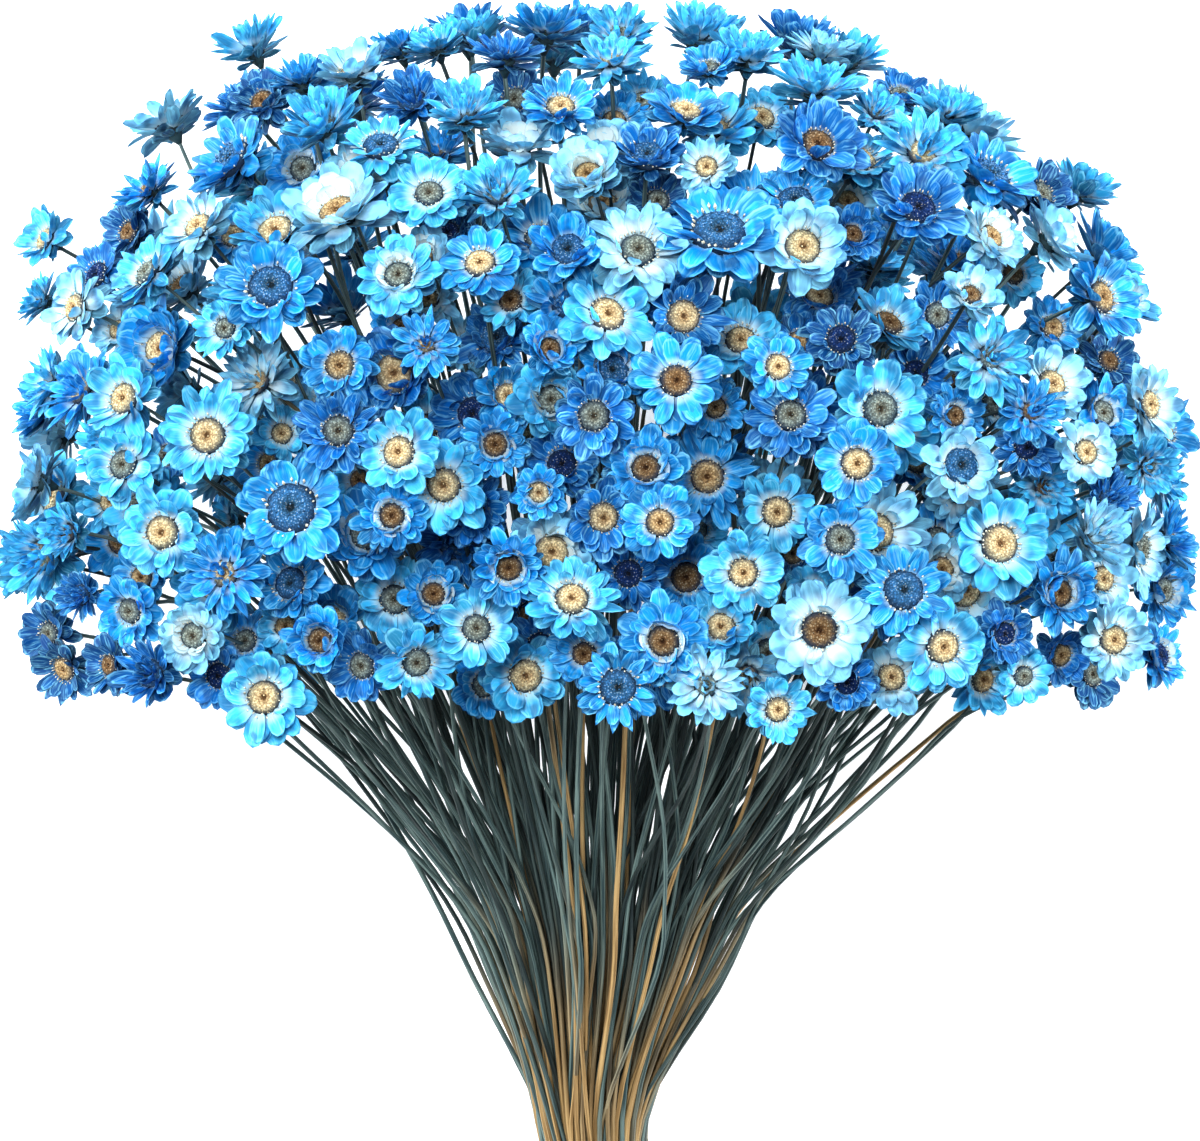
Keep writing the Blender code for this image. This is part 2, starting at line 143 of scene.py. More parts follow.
for name, place, size, power in LAMPS:
    light = bpy.data.lights.new(name, "AREA")
    light.size = size
    light.energy = power
    lamp = add_object(name, light)
    lamp.location = place
    lamp.rotation_euler = (TARGET - place).to_track_quat("-Z", "Y").to_euler()
    lamp.visible_camera = False

surround = bpy.data.worlds.new("surround")
surround.use_nodes = True
surround.node_tree.nodes["Background"].inputs["Color"].default_value = SURROUND
surround.node_tree.nodes["Background"].inputs["Strength"].default_value = SURROUND_STRENGTH
bpy.context.scene.world = surround
bpy.context.scene.view_settings.view_transform = "Standard"
bpy.context.scene.view_settings.gamma = PRINT_GAMMA
print("lamps:", [name for name, _, _, _ in LAMPS])

# %% [markdown]
# ## Where each head is
#
# Each CAD node is one strand: a bar with up to six stems and their heads. The heads could be placed
# again by the rule that made the CAD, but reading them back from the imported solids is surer: a head's
# flat disc is the only small flat face with five to seven corners evenly round its middle, and the
# sizes of the rest of the head are fixed shares of its radius.

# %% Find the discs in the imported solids
MERGE = 1e-6
SAME_PLANE = 0.99995
SMALLEST_DISC = 0.0016
DISC_CORNERS = range(5, 8)
EVENLY_ROUND = 0.00002
DISC_REACH = 0.34
DISC_RISE = 0.18
CALYX_DEPTH = 0.50
LEAST_LIFT = 0.05

Star = namedtuple("Star", "heart facing radius lift outward corners")


def flat_regions(shape):
    """Yields each set of neighbouring faces that lie in one plane."""
    seen = set()
    for first in shape.faces:
        if first.index in seen:
            continue
        seen.add(first.index)
        region = [first]
        for face in region:
            for other in (f for edge in face.edges for f in edge.link_faces):
                if other.index not in seen and other.normal.dot(first.normal) > SAME_PLANE:
                    seen.add(other.index)
                    region.append(other)
        yield region


def star_of(region):
    """The CAD's star round a flat region, or None where the region isn't a disc."""
    corners = sorted({corner for face in region for corner in face.verts}, key=lambda c: c.index)
    middle = sum((corner.co for corner in corners), Vector()) / len(corners)
    reaches = [(corner.co - middle).length for corner in corners]
    even = min(reaches) >= SMALLEST_DISC and max(reaches) - min(reaches) <= EVENLY_ROUND
    if len(corners) not in DISC_CORNERS or not even:
        return None
    facing = region[0].normal.copy()
    radius = reaches[0] / DISC_REACH
    heart = middle - DISC_RISE * radius * facing
    around = [edge.other_vert(corner).co - heart for corner in corners for edge in corner.link_edges
              if edge.other_vert(corner) not in corners]
    tip = max(around, key=lambda way: (way - way.dot(facing) * facing).length)
    outward = (tip - tip.dot(facing) * facing).normalized()
    return Star(heart, facing, radius, max(LEAST_LIFT, tip.dot(facing) / radius), outward, None)


stars = {}
for name in sorted(frame["nodes"]):
    if not name.startswith("flowers_"):
        continue
    solid = bmesh.new()
    solid.from_mesh(frame["nodes"][name].data)
    bmesh.ops.remove_doubles(solid, verts=solid.verts, dist=MERGE)
    solid.faces.index_update()
    found = [star for star in map(star_of, flat_regions(solid)) if star]
    places = [corner.co.copy() for corner in solid.verts]
    stars[name] = [star._replace(corners=places) for star in sorted(found, key=lambda s: tuple(s.heart))]
    solid.free()
print("strands:", len(stars), " heads:", sum(len(found) for found in stars.values()))

# %% [markdown]
# ## Where each stem runs
#
# A real stem is one wiry stalk of about a millimetre. Each could be drawn by hand, but the CAD gives
# nearly all of its way: the strands stand in the neck in a sunflower's spiral, six stems leave the
# top of each, and every stem bends once on its way to its head. So the same few sizes as in the CAD
# give the route, and only the neck needs care, where all the stems have to lie side by side.

# %% The strands' spiral, as in the CAD
STRANDS = 48
STEMS_PER_STRAND = 6
NECK = Vector((0, -0.022, 0.036))
NECK_HALF_WIDTH = 0.0112
NECK_HALF_HEIGHT = 0.0108
STRAND_RADIUS = 0.00103
CUT_END_SPREAD = 1.06
CUT_END_TWIST = math.radians(12)
CUT_END = Vector((0, -0.200, CUT_END_SPREAD * NECK_HALF_HEIGHT + STRAND_RADIUS))
FAN_LENGTH = 0.048
FAN_SPREAD = 1.9
STEM_SLOT_RADIUS = 0.00105
LEAVES_STRAIGHT = 0.34
ARRIVES_STRAIGHT = 0.28
GOLDEN_ANGLE = math.pi * (3 - math.sqrt(5))
UP = Vector((0, 0, 1))


def strand_offset(strand, spread=1.0):
    """Where a strand stands in the spiral, from the middle of the bundle."""
    out = spread * math.sqrt((strand + 0.5) / STRANDS)
    turn = strand * GOLDEN_ANGLE
    return Vector((NECK_HALF_WIDTH * out * math.cos(turn), 0, NECK_HALF_HEIGHT * out * math.sin(turn)))


def strand_top(strand):
    """The middle of a strand's top end, its direction there and the two ways across it."""
    middle = NECK + strand_offset(strand, FAN_SPREAD) + FAN_LENGTH * (NECK - CUT_END).normalized()
    along = (middle - NECK - strand_offset(strand)).normalized()
    side = along.cross(UP).normalized()
    return middle, along, side, side.cross(along)


def stem_bends(star, strand, slot):
    """The four points of the curve that a stem follows from the top of its strand to its calyx."""
    middle, along, side, lift = strand_top(strand)
    turn = math.tau * slot / STEMS_PER_STRAND
    leave = middle + STEM_SLOT_RADIUS * (math.cos(turn) * side + math.sin(turn) * lift)
    base = star.heart - CALYX_DEPTH * star.radius * star.facing
    reach = (base - leave).length
    return (leave, leave + LEAVES_STRAIGHT * reach * along,
            base - ARRIVES_STRAIGHT * reach * star.facing, base)


def on_curve(bends, at):
    """The point of a cubic Bezier curve, from its start (0) to its end (1)."""
    a, b, c, d = bends
    rest = 1 - at
    return a * rest**3 + 3 * b * rest**2 * at + 3 * c * rest * at**2 + d * at**3


print("neck, mm wide and high:", [round(2000 * half, 1) for half in (NECK_HALF_WIDTH, NECK_HALF_HEIGHT)])

# %% [markdown]
# The CAD's stars look out from the crown much alike. The real heads turn up towards the viewer at the
# sides, lean outwards at the top, and nod, each by its own few degrees. Turning only the finished
# flowers would kink their necks, so the end of each stem's curve is turned with its head.

# %% Give each head its stem
Head = namedtuple("Head", "node heart facing radius lift outward bends neck")
BEND_CORNERS = 3


def own_bends(star, strand):
    """A stem's curve by the slot whose bend is nearest to the bend that the solid has."""
    def miss(bends):
        """How far a curve's middle is from the nearest corners of the solid."""
        bend = on_curve(bends, 0.5)
        near = sorted(star.corners, key=lambda corner: (corner - bend).length)[:BEND_CORNERS]
        return (sum(near, Vector()) / BEND_CORNERS - bend).length
    curves = [stem_bends(star, strand, slot) for slot in range(STEMS_PER_STRAND)]
    best = min(curves, key=miss)
    return best, miss(best)


SEED = 7
LOOKS_UP = 0.60
UNDERSIDE_FROM, UPPER_FROM = -0.35, 0.15
LEANS_OUT = 0.50
LEANS_FROM, LEANS_TO = 0.120, 0.190
NOD = 0.13


def share_between(value, low, high):
    """How far a value is from low (0) to high (1)."""
    return min(1, max(0, (value - low) / (high - low)))


def own_facing(star, draw):
    """A head's facing: real heads turn up at the sides, lean outwards at the top, and nod a little."""
    upper = share_between(star.facing.z, UNDERSIDE_FROM, UPPER_FROM)
    sideways = (1 - max(0, star.facing.y)) ** 2
    lean = LEANS_OUT * share_between(star.heart.y, LEANS_FROM, LEANS_TO)
    nod = NOD * Vector([draw.gauss(0, 1) for _ in range(3)])
    return (star.facing + LOOKS_UP * upper * sideways * UP + Vector((0, lean, 0)) + upper * nod).normalized()


heads = []
nods = random.Random(SEED)
worst_miss = 0.0
for strand, (name, found) in enumerate(stars.items()):
    for star in found:
        bends, missed = own_bends(star, strand)
        worst_miss = max(worst_miss, missed)
        facing = own_facing(star, nods)
        base = star.heart - CALYX_DEPTH * star.radius * facing
        reach = (base - bends[0]).length
        bends = (*bends[:2], base - ARRIVES_STRAIGHT * reach * facing, base)
        outward = facing.cross(star.outward.cross(facing)).normalized()
        heads.append(Head(name, star.heart, facing, star.radius, star.lift, outward, bends, strand))
print("heads with a stem:", len(heads))
print("farthest that a bend is from the solid's, mm:", round(1000 * worst_miss, 3))

# %% [markdown]
# ## The looks of the heads
#
# No two heads are alike: some open flat round a cream or a blue disc, some are still cups with white
# inner bracts, some are so full that no disc shows. The heads that stand out in the photograph are
# listed by the pixel that each is at. The nearest head of the CAD takes that look, and the rest draw
# theirs from a seeded bag.

# %% Colours of dye and discs


def rgb(red, green, blue):
    """A colour as light adds up, from the numbers 0 to 255 that a screen shows."""
    return tuple((part / 255 / 12.92) if part < 11 else ((part / 255 + 0.055) / 1.055) ** 2.4
                 for part in (red, green, blue))


DYE = {
    # The darkest dye is painted shade, for heads deep in the crown.
    "painted_shade_navy": (rgb(8, 84, 146), 0.10),
    "deep": (rgb(10, 121, 200), 0.16),
    "azure": (rgb(20, 159, 232), 0.32),
    "sky": (rgb(70, 196, 246), 0.48),
    "pale": (rgb(142, 218, 250), 0.70),
}
DISC = {
    "cream": rgb(232, 214, 170),
    "tan": rgb(200, 176, 132),
    "brown": rgb(146, 120, 86),
    "grey": rgb(140, 154, 148),
    "blue": rgb(60, 122, 174),
    "navy": rgb(22, 60, 120),
}
print("dyes:", list(DYE), " discs:", list(DISC))

# %% The heads that stand out: dye, disc, shape of the head and the pixels where such heads are
LOOKS = (
    ("azure", "cream", "open", ((237, 240), (484, 270), (565, 115), (681, 125), (785, 375), (830, 450))),
    ("sky", "cream", "open", ((604, 321), (752, 318), (405, 454), (432, 505), (570, 602), (989, 543),
                              (933, 645), (760, 122), (153, 385), (219, 437), (272, 692), (42, 237),
                              (780, 513), (738, 570), (173, 535), (112, 502), (231, 604), (775, 709))),
    ("pale", "cream", "open", ((203, 233), (87, 318), (119, 330), (1078, 454), (1096, 579), (1104, 638),
                               (527, 428), (487, 362), (734, 173), (790, 235), (1143, 405), (1060, 393),
                               (69, 416), (40, 482), (879, 548), (885, 676), (355, 75), (166, 122))),
    ("azure", "blue", "open", ((237, 168), (275, 293), (716, 247), (301, 513), (984, 186), (851, 467),
                               (579, 275), (617, 683), (298, 584), (922, 505))),
    ("sky", "grey", "open", ((143, 458), (222, 507), (370, 595), (484, 615), (765, 650), (693, 530),
                             (438, 199), (1050, 559), (808, 592), (156, 279))),
    ("deep", "navy", "open", ((468, 399), (563, 467), (655, 564), (540, 643), (826, 663), (97, 275),
                              (1020, 449), (1007, 594), (910, 219), (953, 298), (645, 293))),
    ("azure", "brown", "cup", ((405, 332), (548, 355), (688, 355), (510, 564), (423, 597), (326, 640),
                               (635, 454), (683, 645), (670, 480), (772, 370), (474, 462), (1040, 612))),
    ("pale", "tan", "cup", ((342, 222), (425, 252), (579, 191), (525, 145), (431, 303), (846, 204),
                            (617, 173), (1045, 245), (604, 235), (976, 242), (935, 569))),
    ("sky", "grey", "full", ((469, 120), (520, 217), (319, 150), (902, 288), (978, 355), (874, 117))),
    ("azure", "tan", "open", ((324, 352), (915, 454), (614, 125), (719, 428), (734, 490), (1093, 298),
                              (861, 334), (1050, 329), (147, 578))),
    ("sky", "grey", "side", ((251, 38), (433, 31), (620, 35), (690, 45), (757, 60), (848, 56), (945, 117),
                             (1083, 189), (36, 298), (1144, 464), (482, 56), (548, 56), (831, 100))),
    ("deep", "blue", "full", ((236, 102), (163, 673), (1103, 500), (87, 592), (415, 107))),
)
NEAR_ENOUGH = 0.0055

bag = random.Random(SEED)
looks = {}
unplaced = []
for dye, disc, shape, pixels in LOOKS:
    for pixel in pixels:
        spot = in_plan(*pixel)
        free = [n for n, head in enumerate(heads) if n not in looks and head.heart.z > NECK.z]
        near = min(free, key=lambda n: (heads[n].heart.to_2d() - spot).length)
        if (heads[near].heart.to_2d() - spot).length < NEAR_ENOUGH:
            looks[near] = (dye, disc, shape)
        else:
            unplaced.append((spot, (dye, disc, shape)))
print("heads with a look of their own:", len(looks), " looks still to place:", len(unplaced))

# %% [markdown]
# ## The second tier
#
# Between the CAD's heads the photograph shows a second tier, a little deeper in the crown, whose
# heads close the gaps with blue. Larger front heads would close them too, but would look bloated.
# So smaller heads are added under the crown's surface: first where a look found no head of its own,
# then wherever the crown is still barest, each as deep as keeps it clear of its neighbours. Those in
# the barest spots take darker dyes and discs than the rest: painted shade for their depth.

# %% Heads of the second tier
CROWN_MIDDLE = Vector((0, 0.095, 0.057))
CROWN_HALVES = Vector((0.103, 0.100, 0.072))
CROWN_SQUARENESS = 2.5
TIER_RADIUS = (0.0052, 0.0070)
TIER_LIFT = (0.15, 0.45)
TIER_HEADS = 76
TIER_DEPTHS = tuple(0.002 * step for step in range(2, 18))
TIER_CLEAR = 0.86
TIER_LOW_EDGE = 0.078
TIER_HIGH_EDGE = CROWN_MIDDLE.y + 0.9 * CROWN_HALVES.y
TIER_DARTS = 60
TIER_LOOKS_UP = 0.4
TIER_NOD = 0.16
# The deeper heads' bags lean to the darkest dye and to darker discs: painted shade for their depth.
TIER_PAINTED_SHADE_DYES = ("painted_shade_navy", "painted_shade_navy", "deep", "deep", "azure", "sky")
TIER_PAINTED_SHADE_DISCS = ("grey", "grey", "navy", "brown", "tan")


def crown_height(spot):
    """The height of the crown's surface over a spot in plan, or None beyond its rim."""
    share = sum(abs((spot[axis] - CROWN_MIDDLE[axis]) / CROWN_HALVES[axis]) ** CROWN_SQUARENESS
                for axis in (0, 1))
    if share >= 1:
        return None
    return CROWN_MIDDLE.z + CROWN_HALVES.z * (1 - share) ** (1 / CROWN_SQUARENESS)


def tier_head(spot, draw):
    """A small head under the crown's surface at a spot, on a stem of the nearest head's strand."""
    height = crown_height(spot) or CROWN_MIDDLE.z
    radius = draw.uniform(*TIER_RADIUS)
    away = Vector((*spot, height)) - CROWN_MIDDLE
    steep = Vector([away[axis] / CROWN_HALVES[axis] ** 2 for axis in range(3)]).normalized()
    nod = Vector([draw.gauss(0, TIER_NOD) for _ in range(3)])
    facing = (steep + TIER_LOOKS_UP * UP + nod).normalized()
    for depth in TIER_DEPTHS:
        heart = Vector((*spot, height - depth))
        if all((heart - other.heart).length > TIER_CLEAR * (radius + other.radius) for other in heads):
            break
    near = min(heads, key=lambda other: (other.heart - heart).length)
    star = Star(heart, facing, radius, draw.uniform(*TIER_LIFT), facing.orthogonal().normalized(), None)
    bends = stem_bends(star, near.neck, draw.uniform(0, STEMS_PER_STRAND))
    return Head(near.node, heart, facing, radius, star.lift, star.outward, bends, near.neck)


def bareness(spot):
    """How far a spot in plan is from the edge of the nearest head in the upper half of the crown."""
    return min((head.heart.to_2d() - spot).length - head.radius
               for head in heads if head.heart.z > CROWN_MIDDLE.z)


def throw_dart():
    """A spot anywhere in the crown's plan."""
    return Vector((bag.uniform(-1, 1) * CROWN_HALVES.x, bag.uniform(TIER_LOW_EDGE, TIER_HIGH_EDGE)))


for spot, look in unplaced:
    heads.append(tier_head(spot, bag))
    looks[len(heads) - 1] = look
while len(heads) < sum(map(len, stars.values())) + TIER_HEADS:
    darts = [throw_dart() for _ in range(TIER_DARTS)]
    barest = max((dart for dart in darts if crown_height(dart)), key=bareness)
    heads.append(tier_head(barest, bag))
    # Darker dyes and discs here are painted shade for the deeper heads.
    looks[len(heads) - 1] = (bag.choice(TIER_PAINTED_SHADE_DYES), bag.choice(TIER_PAINTED_SHADE_DISCS), bag.choice(("open", "cup")))
print("heads with the second tier:", len(heads))

# %% The rest draw their looks from a bag
DYE_BAG = ("deep", "deep", "azure", "azure", "azure", "sky", "sky", "pale")
# Paler dyes for heads far out at the sides: painted light for the brighter sides.
PAINTED_LIGHT_SIDES_DYE_BAG = ("azure", "sky", "sky", "pale", "pale")
SIDES_FROM = 0.060
DISC_BAG = ("cream", "cream", "tan", "brown", "grey", "grey", "blue")
SHAPE_BAG = ("open", "open", "open", "cup", "full")
EDGE_ON = 0.45

for number, head in enumerate(heads):
    if number not in looks:
        shape = bag.choice(SHAPE_BAG) if head.facing.z > EDGE_ON else "side"
        # Heads beyond SIDES_FROM draw paler dyes, as painted light.
        dyes = PAINTED_LIGHT_SIDES_DYE_BAG if abs(head.heart.x) > SIDES_FROM else DYE_BAG
        looks[number] = (bag.choice(dyes), bag.choice(DISC_BAG), shape)
print("shapes of head:", dict(Counter(shape for _, _, shape in looks.values())))

# %% [markdown]
# The stems could keep their strand's middle in the neck, but six would then be in one place. Instead
# each starts near its strand's middle, and all push each other apart in small steps until they lie
# a stem's width apart inside the neck's oval, as a fistful of stalks does.

# %% Spread the stems over the neck
STEM_RADIUS = 0.00046
STEMS_APART = 0.00100
WAIST = 0.86
PUSH_STEPS = 400
PUSH_SHARE = 0.4
NEVER_ZERO = 1e-7
START_OUT = 0.0005
NECK_WIDE = WAIST * (NECK_HALF_WIDTH + STRAND_RADIUS - STEM_RADIUS)
NECK_HIGH = WAIST * (NECK_HALF_HEIGHT + STRAND_RADIUS - STEM_RADIUS)

spots = []
for head in heads:
    away = head.bends[0] - strand_top(head.neck)[0]
    start = WAIST * strand_offset(head.neck) + START_OUT * away.normalized()
    spots.append((start.x, start.z))
spots = np.array(spots)
for _ in range(PUSH_STEPS):
    apart = spots[:, None] - spots[None]
    distance = np.maximum(np.linalg.norm(apart, axis=2), NEVER_ZERO)
    push = np.clip(STEMS_APART - distance, 0, None) / distance
    np.fill_diagonal(push, 0)
    spots = spots + PUSH_SHARE * (apart * push[..., None]).sum(axis=1)
    out = np.hypot(spots[:, 0] / NECK_WIDE, spots[:, 1] / NECK_HIGH)
    spots = spots / np.maximum(out, 1)[:, None]
gaps = np.linalg.norm(spots[:, None] - spots[None], axis=2) + np.eye(len(spots))
print("nearest stems in the neck, mm from middle to middle:", round(1000 * gaps.min(), 2))


def across(spot, spread=1.0, twist=0.0):
    """A spot of the neck as an offset from the bundle's middle, spread and twisted."""
    x, z = spread * spot[0], spread * spot[1]
    return Vector((x * math.cos(twist) - z * math.sin(twist), 0, x * math.sin(twist) + z * math.cos(twist)))


# %% [markdown]
# From the neck each stem follows its curve, swaying a little on the way, and a few bend more than the
# rest. Half-way up the fan the photograph's outline is wider than the CAD's bars, and more so on the
# right. So the curve's middle points are moved outwards there, by one table for each side.

# %% Each stem's way, from its cut end to its calyx
STEM_WANDER = 0.0016
BENT_SHARE = 0.07
BENT_MORE = 2.0
BOW = 0.0006
FOOT_SPREAD = CUT_END_SPREAD / WAIST
FOOT_LIFT = 0.0004
ABOVE_NECK = Vector((-0.0015, 0.019, 0.004))
WAY_AT_NECK = 0.2
CURVE_STEPS = (0.0, 0.14, 0.3, 0.5, 0.7, 0.86, 0.95, 1.0)
WIDER_LEFT = (0.95, 1.06, 1.14, 1.09, 1.0, 1.0, 1.0, 1.0)
WIDER_RIGHT = (1.00, 1.12, 1.23, 1.14, 1.0, 1.0, 1.0, 1.0)


def stem_route(head, spot, draw):
    """Points from the cut end through the neck to the calyx, fanned out evenly and wandering a little."""
    wander = STEM_WANDER * (BENT_MORE if draw.random() < BENT_SHARE else 1)
    sway, ripple = (wander * Vector([draw.gauss(0, 1) for _ in range(3)]) for _ in range(2))
    cut_end = CUT_END + across(spot, FOOT_SPREAD, CUT_END_TWIST) + FOOT_LIFT * UP
    in_neck = NECK + across(spot)
    halfway = cut_end.lerp(in_neck, 0.5) + across(spot) * BOW / NECK_WIDE
    route = [cut_end, halfway, in_neck, in_neck + ABOVE_NECK]
    wider_by = WIDER_RIGHT if head.bends[0].x > 0 else WIDER_LEFT
    for at, wider in zip(CURVE_STEPS, wider_by):
        point = on_curve(head.bends, at)
        point.x *= wider
        way = WAY_AT_NECK + (1 - WAY_AT_NECK) * at
        route.append(point + math.sin(math.pi * way) * sway + math.sin(math.tau * way) * ripple)
    return route


# %% [markdown]
# ## The small shapes that repeat
#
# A bract is a dry, papery petal: narrow at its root, widest beyond its middle, hollow like a spoon or
# curled back, and thin. It could be a flat card with its outline cut by an alpha mask, but a card has
# no thickness and its mask is lost in a plain model. So each of five kinds is a closed mesh of a few
# dozen faces, with its UV map along and across it for the dye to follow.

# %% Bracts: a closed blade of a few dozen faces
BRACT_THICKNESS = 0.028
ROWS = (0.0, 0.22, 0.48, 0.74, 0.92)
TIP_CURL = 1.02

Bract = namedtuple("Bract", "widths hollow curl twist tip")
BRACTS = {
    "a_flat": Bract((0.30, 0.68, 0.98, 0.94, 0.58), 0.10, 0.05, 0.0, 1.0),
    "b_spoon": Bract((0.34, 0.72, 1.00, 0.96, 0.60), 0.24, 0.30, 0.0, 1.0),
    "c_curled_back": Bract((0.30, 0.66, 0.98, 0.98, 0.62), 0.14, -0.26, 0.0, 1.0),
    "d_pointed": Bract((0.30, 0.58, 0.80, 0.62, 0.30), 0.16, 0.08, 0.0, 1.05),
    "e_twisted": Bract((0.28, 0.70, 0.96, 0.90, 0.52), 0.12, 0.10, 0.35, 0.98),
}

blocks = bpy.data.collections.new("small_shapes")


def block(name, shape, place, uv, sharp_rim=False):
    """Makes a small shape smooth, with its UV, and keeps it where Geometry Nodes pick from."""
    for face in shape.faces:
        face.smooth = True
        for loop in face.loops:
            loop[uv].uv = place[loop.vert]
    bmesh.ops.recalc_face_normals(shape, faces=shape.faces)
    if sharp_rim:
        for edge in shape.edges:
            near, far = (face.normal for face in edge.link_faces)
            edge.smooth = near.dot(far) > 0
    mesh = bpy.data.meshes.new(name)
    shape.to_mesh(mesh)
    shape.free()
    blocks.objects.link(bpy.data.objects.new(name, mesh))
    return mesh


def bract_rows(bract):
    """Rows of (left, middle, right) points of a bract one unit long, and the point of its tip."""
    rows = []
    for share, width in zip(ROWS, bract.widths):
        bend = bract.curl * share**2
        middle = Vector((share, 0, bend))
        edge = bract.hollow * width * 0.5
        turn = bract.twist * share
        side = Vector((0, 0.5 * width * math.cos(turn), 0.5 * width * math.sin(turn)))
        rows.append((middle + side + edge * UP, middle, middle - side + edge * UP))
    return rows, Vector((bract.tip, 0, bract.curl * TIP_CURL))


def make_bract(name, bract):
    """A closed bract: its rows above, its hollow back below, and its UV across and along it."""
    shape = bmesh.new()
    uv = shape.loops.layers.uv.new("UVMap")
    rows, tip = bract_rows(bract)
    drop = BRACT_THICKNESS * UP
    upper = [[shape.verts.new(point) for point in row] for row in rows]
    lower = [[row[0], shape.verts.new(points[1] - drop), row[2]] for row, points in zip(upper, rows)]
    end = shape.verts.new(tip)
    place = {}
    for share, row in zip(ROWS, upper):
        for side, corner in enumerate(row):
            place[corner] = (side / 2, share)
    for share, row in zip(ROWS, lower):
        place[row[1]] = (0.5, share)
    place[end] = (0.5, 1.0)
    for layer, order in ((upper, 1), (lower, -1)):
        for near, far in zip(layer, layer[1:]):
            for side in (0, 1):
                shape.faces.new([near[side], near[side + 1], far[side + 1], far[side]][::order])
        for side in (0, 1):
            shape.faces.new([layer[-1][side], layer[-1][side + 1], end][::order])
    shape.faces.new([upper[0][0], lower[0][1], upper[0][2], upper[0][1]])
    return block(name, shape, place, uv, sharp_rim=True)


for name, bract in BRACTS.items():
    made = make_bract(name, bract)
    print(name, "faces:", len(made.polygons))

# %% [markdown]
# The disc is a low dome of tiny florets with a dimple in its middle. Modelling every floret would
# cost too much, so a turned dome carries the fine grain in its material, and small grains of eight
# faces stand on it in the same spiral as the strands. Under the bracts sits the calyx, a turned cup.

# %% Turned shapes: dome, grain and calyx
DOME = ((0.0, 0.20), (0.16, 0.26), (0.38, 0.42), (0.66, 0.40), (0.90, 0.22), (1.0, 0.0), (0.0, -0.1))
CALYX = ((0.0, -1.0), (0.12, -0.98), (0.30, -0.72), (0.52, -0.40), (0.66, -0.06), (0.40, 0.10), (0.0, 0.12))
GRAIN = ((0.0, 1.0), (0.55, 0.35), (0.0, -0.6))
DOME_SIDES, CALYX_SIDES, GRAIN_SIDES = 14, 9, 4


def make_turned(name, profile, sides):
    """A closed shape turned round Z from (radius, height) points that start and end on the axis."""
    shape = bmesh.new()
    uv = shape.loops.layers.uv.new("UVMap")
    rings = []
    for radius, height in profile:
        count = sides if radius > 0 else 1
        rings.append([shape.verts.new((radius * math.cos(math.tau * side / sides),
                                       radius * math.sin(math.tau * side / sides), height))
                      for side in range(count)])
    place = {corner: (0.5, radius) for (radius, _), ring in zip(profile, rings) for corner in ring}
    for inner, outer in zip(rings, rings[1:]):
        for side in range(sides):
            corners = [inner[side % len(inner)], inner[(side + 1) % len(inner)],
                       outer[(side + 1) % len(outer)], outer[side % len(outer)]]
            shape.faces.new(list(dict.fromkeys(corners)))
    return block(name, shape, place, uv)


make_turned("f_dome", DOME, DOME_SIDES)
make_turned("g_grain", GRAIN, GRAIN_SIDES)
make_turned("h_calyx", CALYX, CALYX_SIDES)
BLOCKS = sorted(shape.name for shape in blocks.objects)
print("small shapes:", {shape.name: len(shape.data.polygons) for shape in blocks.objects})

# %% [markdown]
# ## Laying out a head
#
# A head could be one finished flower that is copied for all 334, and the copies would show. Instead
# a short recipe lays out each head's bracts in layers, with its own counts, widths and small errors.
# The recipe makes only points: each says which small shape stands there, how it is turned and
# stretched, and its colour.

# %% One point for each small shape
Grown = namedtuple("Grown", "place turned size kind tint pale own finish")
FINISH_BRACT, FINISH_DISC, FINISH_CALYX, FINISH_STEM = range(4)
TURN_ERROR = 0.24
PITCH_ERROR = 7
ROLL_ERROR = 0.24
LENGTHS = (0.84, 1.10)
WIDTHS = (0.82, 1.22)
SHADES = (0.62, 1.18)
PALEST = 1.6


def stand(grown, place, along, up, size, shape, tint, pale, finish, draw):
    """Adds the point of one small shape, with its length along one way and its face to another."""
    side = up.cross(along).normalized()
    turned = tuple(Matrix((along, side, along.cross(side))).transposed().to_euler())
    grown.append(Grown(place, turned, size, BLOCKS.index(shape), tint, pale, draw.random(), finish))


def round_ways(head, turn):
    """The way outwards at a turn round a head."""
    sideways = head.facing.cross(head.outward)
    return math.cos(turn) * head.outward + math.sin(turn) * sideways


Layer = namedtuple("Layer", "count pitch root rise length width kinds shade whiten")


def add_layer(grown, head, layer, tint, pale, draw):
    """Adds a ring of bracts. Sizes are shares of the head's radius, and the pitch is in degrees."""
    start = draw.random() * math.tau
    for number in range(layer.count):
        turn = start + math.tau * (number + draw.uniform(-TURN_ERROR, TURN_ERROR)) / layer.count
        pitch = math.radians(layer.pitch + draw.gauss(0, PITCH_ERROR))
        outwards = round_ways(head, turn)
        along = math.cos(pitch) * outwards + math.sin(pitch) * head.facing
        face = math.cos(pitch) * head.facing - math.sin(pitch) * outwards
        roll = draw.gauss(0, ROLL_ERROR)
        face = math.cos(roll) * face + math.sin(roll) * along.cross(face)
        place = head.heart + head.radius * (layer.root * outwards + layer.rise * head.facing)
        length = head.radius * layer.length * draw.uniform(*LENGTHS)
        width = head.radius * layer.width * draw.uniform(*WIDTHS)
        shade = layer.shade * draw.uniform(*SHADES)
        stand(grown, place, along, face, (length, width, length), draw.choice(layer.kinds),
              [shade * part for part in tint], min(PALEST, pale * layer.whiten), FINISH_BRACT, draw)


BROAD = ("a_flat", "b_spoon", "c_curled_back", "e_twisted", "a_flat")
FINE = ("a_flat", "d_pointed", "c_curled_back", "e_twisted", "b_spoon")
NARROW = ("d_pointed", "d_pointed", "e_twisted", "b_spoon")
UPRIGHT = ("b_spoon", "b_spoon", "a_flat")
SLIM = {BROAD: 1.0, FINE: 0.76, NARROW: 0.70}
MORE = {BROAD: 0, FINE: 3, NARROW: 2}
MOST_LIFT = 0.7


